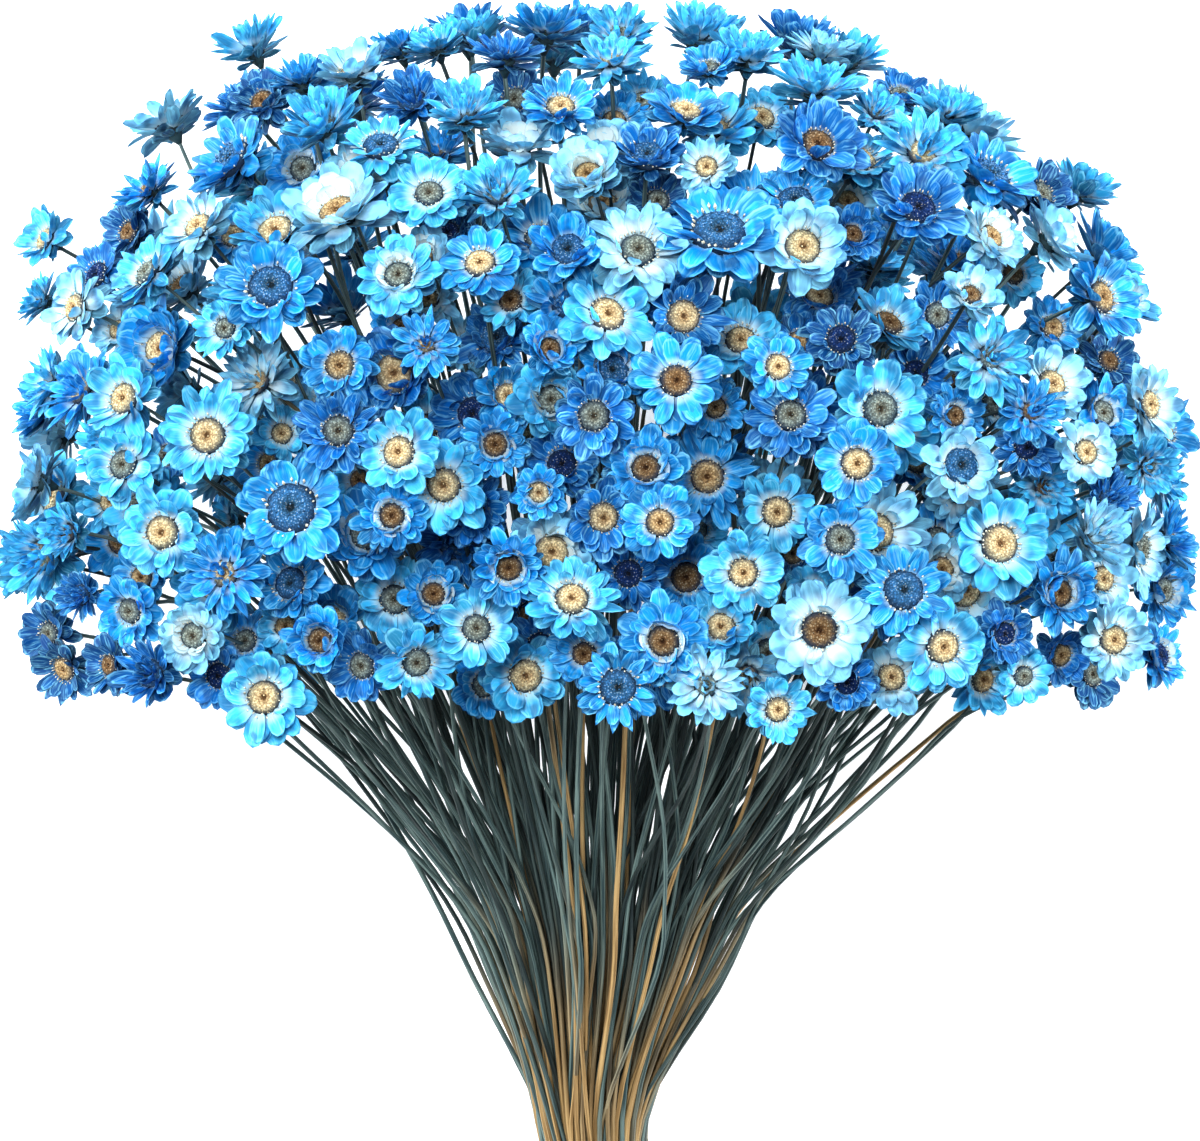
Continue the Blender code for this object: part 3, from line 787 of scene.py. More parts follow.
def head_layers(head, shape, draw):
    """The layers of a head's bracts, from the outside in."""
    open_at = math.degrees(math.asin(min(MOST_LIFT, head.lift)))
    kinds = NARROW if shape in ("side", "full") else draw.choice((BROAD, BROAD, FINE))
    slim, more = SLIM[kinds], MORE[kinds]
    layers = [
        Layer(9, open_at - 14, 0.16, -0.14, 0.76, 0.44, kinds, 0.50, 0.4),
        Layer(draw.choice((9, 10, 11)) + more, open_at, 0.24, 0.00, 0.80, 0.48 * slim, kinds, 0.95, 1.0),
        Layer(draw.choice((8, 9, 10)) + more, open_at + 13, 0.28, 0.05, 0.68, 0.42 * slim, kinds, 1.08, 1.1),
    ]
    if shape == "open":
        layers.append(Layer(draw.choice((0, 2, 4)), open_at + 40, 0.34, 0.08, 0.40, 0.30, UPRIGHT, 1.1, 1.3))
    elif shape == "cup":
        layers.append(Layer(8, open_at + 34, 0.30, 0.06, 0.48, 0.38, UPRIGHT, 1.15, 2.2))
        layers.append(Layer(9, 60, 0.36, 0.05, 0.34, 0.34, UPRIGHT, 1.35, 5.0))
    elif shape == "full":
        layers.append(Layer(9, open_at + 34, 0.20, 0.10, 0.58, 0.30 * slim, kinds, 1.1, 1.2))
        layers.append(Layer(7, 66, 0.12, 0.12, 0.50, 0.26 * slim, kinds, 1.15, 1.2))
        layers.append(Layer(4, 80, 0.04, 0.14, 0.46, 0.22 * slim, kinds, 1.2, 1.2))
    else:
        layers.append(Layer(9, open_at + 32, 0.22, 0.08, 0.58, 0.32 * slim, kinds, 1.1, 1.2))
        layers.append(Layer(6, open_at + 52, 0.16, 0.10, 0.46, 0.26 * slim, kinds, 1.15, 1.2))
    return layers


# %% [markdown]
# The florets are real grains in a sunflower's spiral on the dome, and a ring of white beads stands at
# its rim, as the photograph's nearest heads show. The calyx closes the head behind, dark and ringed
# by short scales.

# %% The disc's florets and the calyx
FLORETS = {"open": 34, "cup": 26, "full": 0, "side": 12}
BEADS = {"open": 26, "cup": 20, "full": 0, "side": 12}
BEAD_COLOUR = rgb(250, 246, 224)
CALYX_COLOUR = rgb(30, 52, 58)
CALYX_WIDTH = 0.8
CALYX_SCALES = Layer(7, -2, 0.10, -0.26, 0.52, 0.26, NARROW, 0.30, 0.2)
DISC_SIZE = {"cream": 1.12, "tan": 1.06, "brown": 1.02, "grey": 1.06, "blue": 1.36, "navy": 1.16}
HIDDEN_DISC = 0.8
DOME_RISE = 0.05
SPIRAL_REACH = 0.84
FLORET_RISE, FLORET_BULGE, FLORET_FALL = 0.30, 0.14, 0.16
FLORET_LEAN = 0.5
FLORET_SIZES = (0.07, 0.11)
FLORET_SHADES = (0.7, 1.35)
FLORET_TALL = 1.1
BEAD_ERROR = 0.3
BEAD_RING = (0.84, 1.10)
BEAD_RISE = 0.30
BEAD_LEANS = (0.5, 1.1)
BEAD_SIZES = (0.075, 0.13)
BEAD_TALL = 1.5
DOME_PALE, FLORET_PALE, BEAD_PALE = 0.5, 0.9, 1.0


def add_disc(grown, head, disc, shape, draw):
    """The dome with its grains in a spiral and the ring of white beads at its rim."""
    colour = DISC[disc]
    reach = head.radius * DISC_REACH * DISC_SIZE[disc] * (HIDDEN_DISC if shape in ("full", "side") else 1)
    foot = head.heart + DOME_RISE * head.radius * head.facing
    stand(grown, foot, head.outward, head.facing, (reach, reach, reach), "f_dome", colour, DOME_PALE,
          FINISH_DISC, draw)
    for number in range(FLORETS[shape]):
        out = math.sqrt((number + 0.5) / FLORETS[shape]) * SPIRAL_REACH
        outwards = round_ways(head, number * GOLDEN_ANGLE)
        height = FLORET_RISE + FLORET_BULGE * math.sin(math.pi * out) - FLORET_FALL * out**4
        up = (head.facing + FLORET_LEAN * out * outwards).normalized()
        size = reach * draw.uniform(*FLORET_SIZES)
        shade = draw.uniform(*FLORET_SHADES)
        place = foot + reach * (out * outwards + height * head.facing)
        stand(grown, place, outwards.cross(up), up, (size, size, size * FLORET_TALL), "g_grain",
              [shade * part for part in colour], FLORET_PALE, FINISH_DISC, draw)
    for number in range(BEADS[shape]):
        turn = math.tau * (number + draw.uniform(-BEAD_ERROR, BEAD_ERROR)) / BEADS[shape]
        outwards = round_ways(head, turn)
        up = (head.facing + draw.uniform(*BEAD_LEANS) * outwards).normalized()
        size = reach * draw.uniform(*BEAD_SIZES)
        place = foot + reach * (draw.uniform(*BEAD_RING) * outwards + BEAD_RISE * head.facing)
        stand(grown, place, outwards.cross(up), up, (size, size, size * BEAD_TALL), "g_grain",
              BEAD_COLOUR, BEAD_PALE, FINISH_DISC, draw)


def add_calyx(grown, head, tint, draw):
    """The dark cup that joins the stem to the bracts, and its scales."""
    depth = CALYX_DEPTH * head.radius
    wide = CALYX_WIDTH * depth
    stand(grown, head.heart, head.outward, head.facing, (wide, wide, depth), "h_calyx", CALYX_COLOUR, 0.0,
          FINISH_CALYX, draw)
    add_layer(grown, head, CALYX_SCALES, tint, 0.0, draw)


# %% [markdown]
# The CAD keeps its stars clear of each other. Real heads push their bracts in between each other's,
# so a head here reaches a little further than its star, and the more room it has the further.

# %% Lay out every head
LEAST_GAIN = 1.08
MOST_GAIN = 1.24
ROOM_TAKEN = 0.55


def gain(head):
    """How much further than the CAD's star a head reaches, by the room to its nearest neighbour."""
    room = min((head.heart - other.heart).length - head.radius - other.radius
               for other in heads if other is not head)
    return min(MOST_GAIN, max(LEAST_GAIN, 1 + ROOM_TAKEN * room / head.radius))


def grow(head, look, draw):
    """Every point of one head."""
    dye, disc, shape = look
    tint, pale = DYE[dye]
    grown = []
    full = head._replace(radius=gain(head) * head.radius)
    for layer in head_layers(full, shape, draw):
        add_layer(grown, full, layer, tint, pale, draw)
    add_disc(grown, full, disc, shape, draw)
    add_calyx(grown, full, tint, draw)
    return grown


layout = {name: [] for name in stars}
for number, head in enumerate(heads):
    draw = random.Random(SEED + number)
    layout[head.node].append((grow(head, looks[number], draw), stem_route(head, spots[number], draw), draw))
print("small shapes in all:", sum(len(grown) for own in layout.values() for grown, _, _ in own))
print("heads that reach furthest past their star:", sum(gain(head) == MOST_GAIN for head in heads))

# %% [markdown]
# ## Finishes
#
# The dye has soaked into dry bracts: it is strong at the tips, runs in streaks along the veins, and
# leaves the roots pale, and a bract's thin rim is lighter. A dark line at the very edge is painted
# shade, where bracts overlap. All of it follows the bract's own UV map, and each bract's tint comes
# with its point. A photograph as a texture would bring its shadows along, so every pattern is made
# by nodes. Each range below says where a value starts to count, where it counts in full, and at
# times between which two strengths.

# %% Helpers for nodes


def add_node(tree, kind, inputs=None, **settings):
    """Adds a node, makes its settings and fills its inputs with links or values."""
    node = tree.nodes.new(kind)
    for name, value in settings.items():
        setattr(node, name, value)
    for key, value in (inputs or {}).items():
        if isinstance(value, bpy.types.NodeSocket):
            tree.links.new(value, node.inputs[key])
        else:
            node.inputs[key].default_value = value
    return node


def calc(tree, operation, *values):
    """The result of a Math node."""
    return add_node(tree, "ShaderNodeMath", dict(enumerate(values)), operation=operation).outputs[0]


def times(tree, first, second):
    """The product of two values."""
    return calc(tree, "MULTIPLY", first, second)


def blend(tree, share, first, second, how="MIX"):
    """The result of a Mix node between two colours."""
    node = add_node(tree, "ShaderNodeMix", data_type="RGBA", blend_type=how)
    for key, value in ((0, share), (6, first), (7, second)):
        if isinstance(value, bpy.types.NodeSocket):
            tree.links.new(value, node.inputs[key])
        else:
            node.inputs[key].default_value = value if key == 0 else (*value, 1)
    return node.outputs[2]


def between(tree, value, low, high, to_low=0.0, to_high=1.0):
    """A value carried smoothly from one range to another, and held there outside it."""
    return add_node(tree, "ShaderNodeMapRange", {0: value, 1: low, 2: high, 3: to_low, 4: to_high},
                    interpolation_type="SMOOTHSTEP").outputs[0]


def read(tree, name, output="Fac"):
    """A named attribute of the piece."""
    return add_node(tree, "ShaderNodeAttribute", attribute_name=name).outputs[output]


def combine(tree, x, y, z):
    """A place from its three parts."""
    return add_node(tree, "ShaderNodeCombineXYZ", {0: x, 1: y, 2: z}).outputs[0]


def noise(tree, at, scale=1.0, detail=3.0):
    """How strong a cloudy noise is at a place, from 0 to 1."""
    return add_node(tree, "ShaderNodeTexNoise", {"Vector": at, "Scale": scale, "Detail": detail}).outputs[0]


def on_tube(tree, across_it, along_it):
    """A place for a noise that runs round a tube without a seam."""
    turn = times(tree, read(tree, "around"), math.tau)
    x, y = (times(tree, calc(tree, way, turn), across_it) for way in ("COSINE", "SINE"))
    return combine(tree, x, y, along_it)


def split_uv(tree):
    """The two parts of a piece's own UV map."""
    uv = add_node(tree, "ShaderNodeUVMap", uv_map="UVMap").outputs[0]
    return add_node(tree, "ShaderNodeSeparateXYZ", {0: uv}).outputs[:2]


def object_place(tree):
    """The place on the piece itself."""
    return add_node(tree, "ShaderNodeTexCoord").outputs["Object"]


def new_finish(name, roughness, specular):
    """A material and its tree."""
    finish = bpy.data.materials.new(name)
    finish.use_nodes = True
    surface = finish.node_tree.nodes["Principled BSDF"]
    surface.inputs["Roughness"].default_value = roughness
    surface.inputs["Specular IOR Level"].default_value = specular
    return finish, finish.node_tree


def show(tree, colour, height=None, strength=0.5, distance=0.0002):
    """Gives the surface its colour, and small bumps where a pattern's height is given."""
    surface = tree.nodes["Principled BSDF"]
    tree.links.new(colour, surface.inputs["Base Color"])
    if height:
        bump = add_node(tree, "ShaderNodeBump", {"Height": height, "Strength": strength,
                                                 "Distance": distance})
        tree.links.new(bump.outputs[0], surface.inputs["Normal"])


# %% Dyed bracts
ROOT_WHITE = rgb(222, 238, 240)
RIM_PALE = rgb(150, 226, 252)
# Dark blue of the dye's blotches, and of the painted shade at a bract's edge.
BLOTCH_AND_EDGE_SHADE_DARK = rgb(4, 64, 126)
OWN_PATTERN = 60.0
VEINS = (9.0, 1.4)
BLOTCHES = (1.6, 2.2)
VEINS_PALE = (0.44, 0.74, 0.0, 0.60)
BLOTCHES_DARK = (0.60, 0.30, 0.0, 0.60)
ROOT_REACH = (0.75, 0.08)
ROOT_FADES = (1.15, 0.35)
ROOT_STRENGTH = (0.6, 0.3)
TIP_IS_EDGE = (0.55, 1.0)
RIM_STARTS, RIM_ENDS = (0.70, 0.90), (1.0, 0.93)
RIM_COMES_AND_GOES = (0.40, 0.62, 0.05, 0.50)
PAINTED_EDGE_SHADE = (0.94, 1.0, 0.0, 0.5)


def bract_finish():
    """Dye with pale veins and dark blotches, a white root, and a pale rim with a dark edge of painted shade.
    """
    finish, tree = new_finish("dyed_bract", roughness=0.55, specular=0.25)
    side, along = split_uv(tree)
    from_middle = calc(tree, "ABSOLUTE", calc(tree, "SUBTRACT", times(tree, side, 2.0), 1.0))
    own = times(tree, read(tree, "own"), OWN_PATTERN)
    streak, blotch = (noise(tree, combine(tree, times(tree, side, across_it),
                                          times(tree, along, along_it), own), detail=detail)
                      for (across_it, along_it), detail in ((VEINS, 3.0), (BLOTCHES, 1.0)))
    tint = read(tree, "tint", "Color")
    colour = blend(tree, between(tree, streak, *VEINS_PALE), tint, RIM_PALE)
    colour = blend(tree, between(tree, blotch, *BLOTCHES_DARK), colour, BLOTCH_AND_EDGE_SHADE_DARK)
    pale = read(tree, "pale")
    reach = calc(tree, "MULTIPLY_ADD", pale, *ROOT_REACH)
    rooted = between(tree, calc(tree, "DIVIDE", along, reach), *ROOT_FADES)
    rooted = times(tree, rooted, calc(tree, "MULTIPLY_ADD", pale, *ROOT_STRENGTH))
    colour = blend(tree, rooted, colour, ROOT_WHITE)
    edge = calc(tree, "MAXIMUM", from_middle, between(tree, along, *TIP_IS_EDGE))
    rim = times(tree, between(tree, edge, *RIM_STARTS), between(tree, edge, *RIM_ENDS))
    rim = times(tree, rim, between(tree, blotch, *RIM_COMES_AND_GOES))
    colour = blend(tree, rim, colour, RIM_PALE)
    # A dark line at the very edge: painted shade where bracts overlap.
    colour = blend(tree, between(tree, edge, *PAINTED_EDGE_SHADE), colour, BLOTCH_AND_EDGE_SHADE_DARK)
    show(tree, colour, streak, strength=0.5, distance=0.0003)
    return finish


dyed_bract = bract_finish()
print("nodes in the bracts' finish:", len(dyed_bract.node_tree.nodes))

# %% [markdown]
# The disc's material has a fine grain, pale specks with painted shade in the gaps between them, a
# brown dimple and a rim darkened by painted shade, by the distance from the middle that its UV map
# holds. The stems are grey-green with lengthwise streaks, and dry to straw towards the neck, each
# from a height of its own.

# %% Discs, calyx and stems
DIMPLE_BROWN = rgb(96, 62, 32)
WARM_MIDDLE = rgb(186, 144, 92)
SPECKLE_PALE = rgb(222, 226, 206)
# Blue-grey of the painted shade at a dome's rim.
DOME_RIM_PAINTED_SHADE = rgb(34, 52, 72)
STRAW = rgb(190, 162, 114)
STRAW_DARK = rgb(124, 98, 62)
STEM_GREEN = rgb(44, 66, 70)
STEM_PALE = rgb(112, 132, 128)
STEM_DARK = rgb(14, 24, 28)
DISC_GRAIN = 3600.0
DISC_SPECKLES = 2300.0
CALYX_PATCHES = 900.0
STEM_STREAKS = 1.6
STREAKS_ALONG_STEM = 26.0
OWN_STREAKS = 90.0
GRAIN_SHADES = (0.3, 0.7, 0.62, 1.25)
SPECKS = (0.30, 0.12, 0.0, 0.5)
PAINTED_SHADE_BETWEEN_SPECKS = (0.36, 0.62, 0.0, 0.6)
DOME_FROM_PALE = (0.85, 0.6)
WARM_WITHIN = (0.62, 0.12, 0.0, 0.7)
DIMPLE_WITHIN = (0.24, 0.10)
DOME_RIM_PAINTED_SHADE_FROM = (0.50, 1.0)
PATCH_SHADES = (0.3, 0.7, 0.5, 1.6)
GREEN_STREAKS, STRAW_STREAKS = (0.35, 0.65), (0.30, 0.70)
DARK_MOODS = (0.5, 0.1, 0.0, 0.75)
DRIED_FROM = (0.16, 0.004)
DRIES_OVER = (0.026, -0.018)


def shaded(tree, share, colour, by):
    """A colour multiplied by another, in part."""
    return blend(tree, share, colour, by, "MULTIPLY")


def disc_finish():
    """The disc's own colour with grain, pale specks and painted shade between them, and on the dome a dimple
    and a rim of painted shade.
    """
    finish, tree = new_finish("floret_disc", roughness=0.85, specular=0.2)
    out = split_uv(tree)[1]
    place = object_place(tree)
    grain = noise(tree, place, DISC_GRAIN, 2.0)
    colour = shaded(tree, 1.0, read(tree, "tint", "Color"), between(tree, grain, *GRAIN_SHADES))
    speckle = add_node(tree, "ShaderNodeTexVoronoi", {"Vector": place, "Scale": DISC_SPECKLES})
    speckle = speckle.outputs["Distance"]
    colour = blend(tree, between(tree, speckle, *SPECKS), colour, SPECKLE_PALE)
    # Darker brown in the gaps between the pale specks: painted shade between the florets.
    colour = blend(tree, between(tree, speckle, *PAINTED_SHADE_BETWEEN_SPECKS), colour,
                   shaded(tree, 0.8, colour, DIMPLE_BROWN))
    is_dome = between(tree, read(tree, "pale"), *DOME_FROM_PALE)
    warm = times(tree, between(tree, out, *WARM_WITHIN), is_dome)
    colour = blend(tree, warm, colour, shaded(tree, 0.75, colour, WARM_MIDDLE))
    dimple = times(tree, between(tree, out, *DIMPLE_WITHIN), is_dome)
    colour = blend(tree, dimple, colour, shaded(tree, 0.8, colour, DIMPLE_BROWN))
    # A blue-grey ring at the dome's rim: painted shade.
    rim = times(tree, between(tree, out, *DOME_RIM_PAINTED_SHADE_FROM), is_dome)
    show(tree, blend(tree, rim, colour, DOME_RIM_PAINTED_SHADE), grain, strength=0.6)
    return finish


def calyx_finish():
    """The calyx's dark green in soft patches."""
    finish, tree = new_finish("calyx_scale", roughness=0.7, specular=0.25)
    patch = noise(tree, object_place(tree), CALYX_PATCHES, 2.0)
    show(tree, shaded(tree, 1.0, read(tree, "tint", "Color"), between(tree, patch, *PATCH_SHADES)))
    return finish


def stem_finish():
    """Streaked grey-green that turns to straw below a height of the stem's own."""
    finish, tree = new_finish("wiry_stem", roughness=0.6, specular=0.3)
    y = add_node(tree, "ShaderNodeSeparateXYZ", {0: object_place(tree)}).outputs[1]
    own = read(tree, "own")
    own_start = times(tree, own, OWN_STREAKS)
    along = calc(tree, "MULTIPLY_ADD", read(tree, "along"), STREAKS_ALONG_STEM, own_start)
    streak = noise(tree, on_tube(tree, STEM_STREAKS, along))
    green = blend(tree, between(tree, streak, *GREEN_STREAKS), STEM_GREEN, STEM_PALE)
    green = blend(tree, between(tree, own, *DARK_MOODS), green, STEM_DARK)
    straw = blend(tree, between(tree, streak, *STRAW_STREAKS), STRAW_DARK, STRAW)
    dried_from = calc(tree, "MULTIPLY_ADD", read(tree, "pale"), *DRIED_FROM)
    above = calc(tree, "SUBTRACT", y, dried_from)
    show(tree, blend(tree, between(tree, above, *DRIES_OVER), green, straw), streak)
    return finish


floret_disc = disc_finish()
calyx_scale = calyx_finish()
wiry_stem = stem_finish()
print("finishes:", [finish.name for finish in (dyed_bract, floret_disc, calyx_scale, wiry_stem)])

# %% [markdown]
# ## Growing a strand by Geometry Nodes
#
# One tree grows every strand. Its mesh holds loose points, one for each small shape, and chains of
# edges, one for each stem. The points are instanced with the shape, turn and size that they carry,
# and the chains become round stems that taper towards the head. Python could copy and bend each
# shape itself, but the nodes keep the sizes in one place, as inputs of the tree.

# %% The tree
STEM_STEPS = 4
STEM_SIDES = 6
UNEVEN_SIZES = 0.05
FINISH_INPUTS = ("Bract finish", "Disc finish", "Calyx finish", "Stem finish")


def new_tree(name, output, *inputs):
    """A Geometry Nodes tree with its named inputs and its output, and what its inputs give."""
    tree = bpy.data.node_groups.new(name, "GeometryNodeTree")
    for label, kind, default in inputs:
        socket = tree.interface.new_socket(label, in_out="INPUT", socket_type="NodeSocket" + kind)
        if default is not None:
            socket.default_value = default
    tree.interface.new_socket(output, in_out="OUTPUT", socket_type="NodeSocketGeometry")
    return tree, add_node(tree, "NodeGroupInput").outputs


def named(tree, name, kind="FLOAT"):
    """A value that the points carry under a name."""
    return add_node(tree, "GeometryNodeInputNamedAttribute", {"Name": name}, data_type=kind).outputs[0]


def equal(tree, value, number):
    """Whether a whole number is the given one."""
    return add_node(tree, "FunctionNodeCompare", {2: value, 3: number}, data_type="INT",
                    operation="EQUAL").outputs[0]


def scaled(tree, way, factor):
    """A vector made longer or shorter."""
    return add_node(tree, "ShaderNodeVectorMath", {0: way, 3: factor}, operation="SCALE").outputs[0]


def smooth_chains(tree, mesh):
    """Chains of edges as smooth curves."""
    curve = add_node(tree, "GeometryNodeMeshToCurve", {0: mesh}).outputs[0]
    return add_node(tree, "GeometryNodeCurveSplineType", {0: curve}, spline_type="CATMULL_ROM").outputs[0]


def mark(tree, curve, name, measure="Factor"):
    """Stores how far along a curve each of its points is, as a share or as a length, under a name."""
    value = add_node(tree, "GeometryNodeSplineParameter").outputs[measure]
    return add_node(tree, "GeometryNodeStoreNamedAttribute", {
        "Geometry": curve, "Name": name, "Value": value}, data_type="FLOAT", domain="POINT").outputs[0]


def tube(tree, curve, sides, radius):
    """A round, closed tube along a curve, as stout as the girth of its points."""
    profile = add_node(tree, "GeometryNodeCurvePrimitiveCircle", {"Resolution": sides, "Radius": radius})
    return add_node(tree, "GeometryNodeCurveToMesh", {
        0: curve, 1: mark(tree, profile.outputs[0], "around"), "Scale": named(tree, "girth"),
        "Fill Caps": True}).outputs[0]


def strand_tree():
    """The tree that grows a strand from its points and chains."""
    tree, given = new_tree(
        "grow_strand", "Strand",
        ("Points and chains", "Geometry", None), ("Small shapes", "Collection", None),
        ("Stem radius", "Float", STEM_RADIUS), ("Stem sides", "Int", STEM_SIDES),
        ("Stem steps", "Int", STEM_STEPS), ("Uneven sizes", "Float", UNEVEN_SIZES), ("Seed", "Int", SEED),
        *((label, "Material", None) for label in FINISH_INPUTS))
    finish = named(tree, "finish", "INT")
    parted = add_node(tree, "GeometryNodeSeparateGeometry", {
        0: given["Points and chains"], 1: equal(tree, finish, FINISH_STEM)})

    points = add_node(tree, "GeometryNodeMeshToPoints", {0: parted.outputs["Inverted"]})
    shapes = add_node(tree, "GeometryNodeCollectionInfo", {
        "Collection": given["Small shapes"], "Separate Children": True, "Reset Children": True})
    turned = add_node(tree, "FunctionNodeEulerToRotation", {0: named(tree, "turned", "FLOAT_VECTOR")})
    least, most = (calc(tree, how, 1.0, given["Uneven sizes"]) for how in ("SUBTRACT", "ADD"))
    uneven = add_node(tree, "FunctionNodeRandomValue", {2: least, 3: most, "Seed": given["Seed"]},
                      data_type="FLOAT").outputs[1]
    copies = add_node(tree, "GeometryNodeInstanceOnPoints", {
        "Points": points.outputs[0], "Instance": shapes.outputs[0], "Pick Instance": True,
        "Instance Index": named(tree, "kind", "INT"), "Rotation": turned.outputs[0],
        "Scale": scaled(tree, named(tree, "size", "FLOAT_VECTOR"), uneven)})

    fine = add_node(tree, "GeometryNodeSetSplineResolution", {
        "Geometry": smooth_chains(tree, parted.outputs["Selection"]), "Resolution": given["Stem steps"]})
    stems = tube(tree, mark(tree, fine.outputs[0], "along"), given["Stem sides"], given["Stem radius"])

    joined = add_node(tree, "GeometryNodeJoinGeometry")
    tree.links.new(copies.outputs[0], joined.inputs[0])
    tree.links.new(stems, joined.inputs[0])
    shown = add_node(tree, "GeometryNodeRealizeInstances", {0: joined.outputs[0]}).outputs[0]
    for number, label in enumerate(FINISH_INPUTS):
        shown = add_node(tree, "GeometryNodeSetMaterial", {
            0: shown, 1: equal(tree, finish, number), 2: given[label]}).outputs[0]
    add_node(tree, "NodeGroupOutput", {0: shown})
    return tree


grow_strand = strand_tree()
print("nodes in the tree:", len(grow_strand.nodes))

# %% [markdown]
# A point of a stem carries the same values as a point of a small shape, and only some of them matter
# to it: its mood sets how its streaks run and how dark it is, and its paleness says how high the
# straw reaches. Each stem is also a little stouter or thinner than the next, and tapers.

# %% Points and chains of one strand
STRAW_RANGES = ((-0.06, 0.17), (-0.06, 0.17), (-0.4, 0.0))
LONG_STRAW_SHARE = 0.03
LONG_STRAW = (0.4, 0.8)
STOUT = (0.84, 1.14)
GIRTH_AT_FOOT = 1.06
GIRTH_AT_HEAD = 0.78
CARRIED = {"turned": "FLOAT_VECTOR", "size": "FLOAT_VECTOR", "tint": "FLOAT_VECTOR", "pale": "FLOAT",
           "own": "FLOAT", "kind": "INT", "finish": "INT"}


def store(mesh, name, kind, values):
    """Writes one value for each point of a mesh under a name."""
    attribute = mesh.attributes.new(name, kind, "POINT")
    key = "vector" if kind == "FLOAT_VECTOR" else "value"
    attribute.data.foreach_set(key, np.array(values, dtype=int if kind == "INT" else float).ravel())


def chain_mesh(name, loose, routes, girths):
    """A mesh of loose points and then of a chain of edges for each route, with a girth at each point."""
    places = list(loose)
    edges = []
    for route in routes:
        edges += [(len(places) + step, len(places) + step + 1) for step in range(len(route) - 1)]
        places += route
    mesh = bpy.data.meshes.new(name)
    mesh.from_pydata(places, edges, [])
    store(mesh, "girth", "FLOAT", [1.0] * len(loose) + girths)
    return mesh


def stem_points(route, draw):
    """The points of one stem, and their girths."""
    mood = draw.random()
    dries_late = draw.choice([draw.uniform(*limits) for limits in STRAW_RANGES])
    if draw.random() < LONG_STRAW_SHARE:
        dries_late = draw.uniform(*LONG_STRAW)
    stout = draw.uniform(*STOUT)
    points = [Grown(place, (0, 0, 0), (1, 1, 1), 0, (1, 1, 1), dries_late, mood, FINISH_STEM)
              for place in route]
    shares = [step / (len(route) - 1) for step in range(len(route))]
    return points, [stout * (GIRTH_AT_FOOT + (GIRTH_AT_HEAD - GIRTH_AT_FOOT) * share) for share in shares]


def strand_points(name, own):
    """A mesh of loose points for the small shapes and of chains for the stems."""
    points = [part for parts, _, _ in own for part in parts]
    loose = [part.place for part in points]
    girths = []
    for _, route, draw in own:
        stem, stem_girths = stem_points(route, draw)
        points += stem
        girths += stem_girths
    mesh = chain_mesh(name, loose, [route for _, route, _ in own], girths)
    for key, kind in CARRIED.items():
        store(mesh, key, kind, [getattr(point, key) for point in points])
    return mesh


# %% Grow each strand and make it a plain mesh
PRESS_HEIGHT = 0.0014


def grown_mesh(piece, tree, inputs):
    """The mesh that a tree makes of a piece, with the tree's inputs set by name."""
    modifier = piece.modifiers.new(tree.name, "NODES")
    modifier.node_group = tree
    for item in tree.interface.items_tree:
        if item.in_out == "INPUT" and item.name in inputs:
            modifier[item.identifier] = inputs[item.name]
    bpy.context.view_layer.update()
    evaluated = piece.evaluated_get(bpy.context.evaluated_depsgraph_get())
    made = bpy.data.meshes.new_from_object(evaluated)
    piece.modifiers.remove(modifier)
    return made


def press(mesh):
    """Bends whatever would sink into the floor up to lie just on it."""
    count = len(mesh.vertices)
    places = np.empty(3 * count, np.float32)
    mesh.vertices.foreach_get("co", places)
    places = places.reshape(count, 3)
    low = places[:, 2] < PRESS_HEIGHT
    places[low, 2] = PRESS_HEIGHT * np.exp((places[low, 2] - PRESS_HEIGHT) / PRESS_HEIGHT)
    mesh.vertices.foreach_set("co", places.ravel())
    mesh.update()


WORKING_ATTRIBUTES = ("turned", "size", "kind", "finish", "girth")
triangles = {}
for name, own in layout.items():
    piece = add_object(name.replace("flowers", "daisies"), strand_points(name, own))
    made = grown_mesh(piece, grow_strand, {
        "Small shapes": blocks, "Bract finish": dyed_bract, "Disc finish": floret_disc,
        "Calyx finish": calyx_scale, "Stem finish": wiry_stem})
    press(made)
    for key in WORKING_ATTRIBUTES:
        made.attributes.remove(made.attributes[key])
    made.name = piece.name
    piece.data = made
    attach(piece, "root")
    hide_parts(name)
    triangles[name] = sum(len(face.vertices) - 2 for face in made.polygons)
print("triangles in all:", sum(triangles.values()), " most in a piece:", max(triangles.values()))
print("attributes:", made.attributes.keys())

for small in list(blocks.objects):
    bpy.data.objects.remove(small)
bpy.data.collections.remove(blocks)

# %% [markdown]
# ## The twine tie
#
# The photograph ends above the tie, so it is a plain one: three turns of jute twine round the neck,
# knotted on top, with two short frayed tails. Real twine is three plies laid round each other. A
# smooth tube with a twisted bump would look flat from the side, so the plies are modelled: Geometry
# Nodes copy the route three times and wind each copy round it by its length.

# %% The twine's route
PLY_RADIUS = 0.00040
PLY_OFFSET = 0.00038
TWINE_RADIUS = PLY_RADIUS + PLY_OFFSET
TWINE_TURNS = 3
TWINE_PITCH = 0.00158
POINTS_PER_TURN = 24
KNOT_UNIT = 0.00100
KNOT_OPEN = 0.45
KNOT_POINTS = 40
TAILS = (((3.0, 3.0, 1.0), (6.5, 5.6, 0.2), (10.5, 7.4, -2.2)),
         ((3.0, -3.0, -0.4), (6.0, -6.0, -0.4), (9.6, -9.0, -2.6)))
FIBRES = 7
FIBRE_GIRTH = 0.16
FIBRE_SPREAD = 0.0011
FIBRE_STEPS = ((-0.0010, 0.3), (0.0012, 0.9), (0.0026, 1.8))

neck_along = (NECK - CUT_END).normalized()
round_wide = NECK_WIDE + STEM_RADIUS + TWINE_RADIUS
round_high = NECK_HIGH + STEM_RADIUS + TWINE_RADIUS
knot_at = NECK + (round_high + 1.7 * TWINE_RADIUS + KNOT_UNIT) * UP


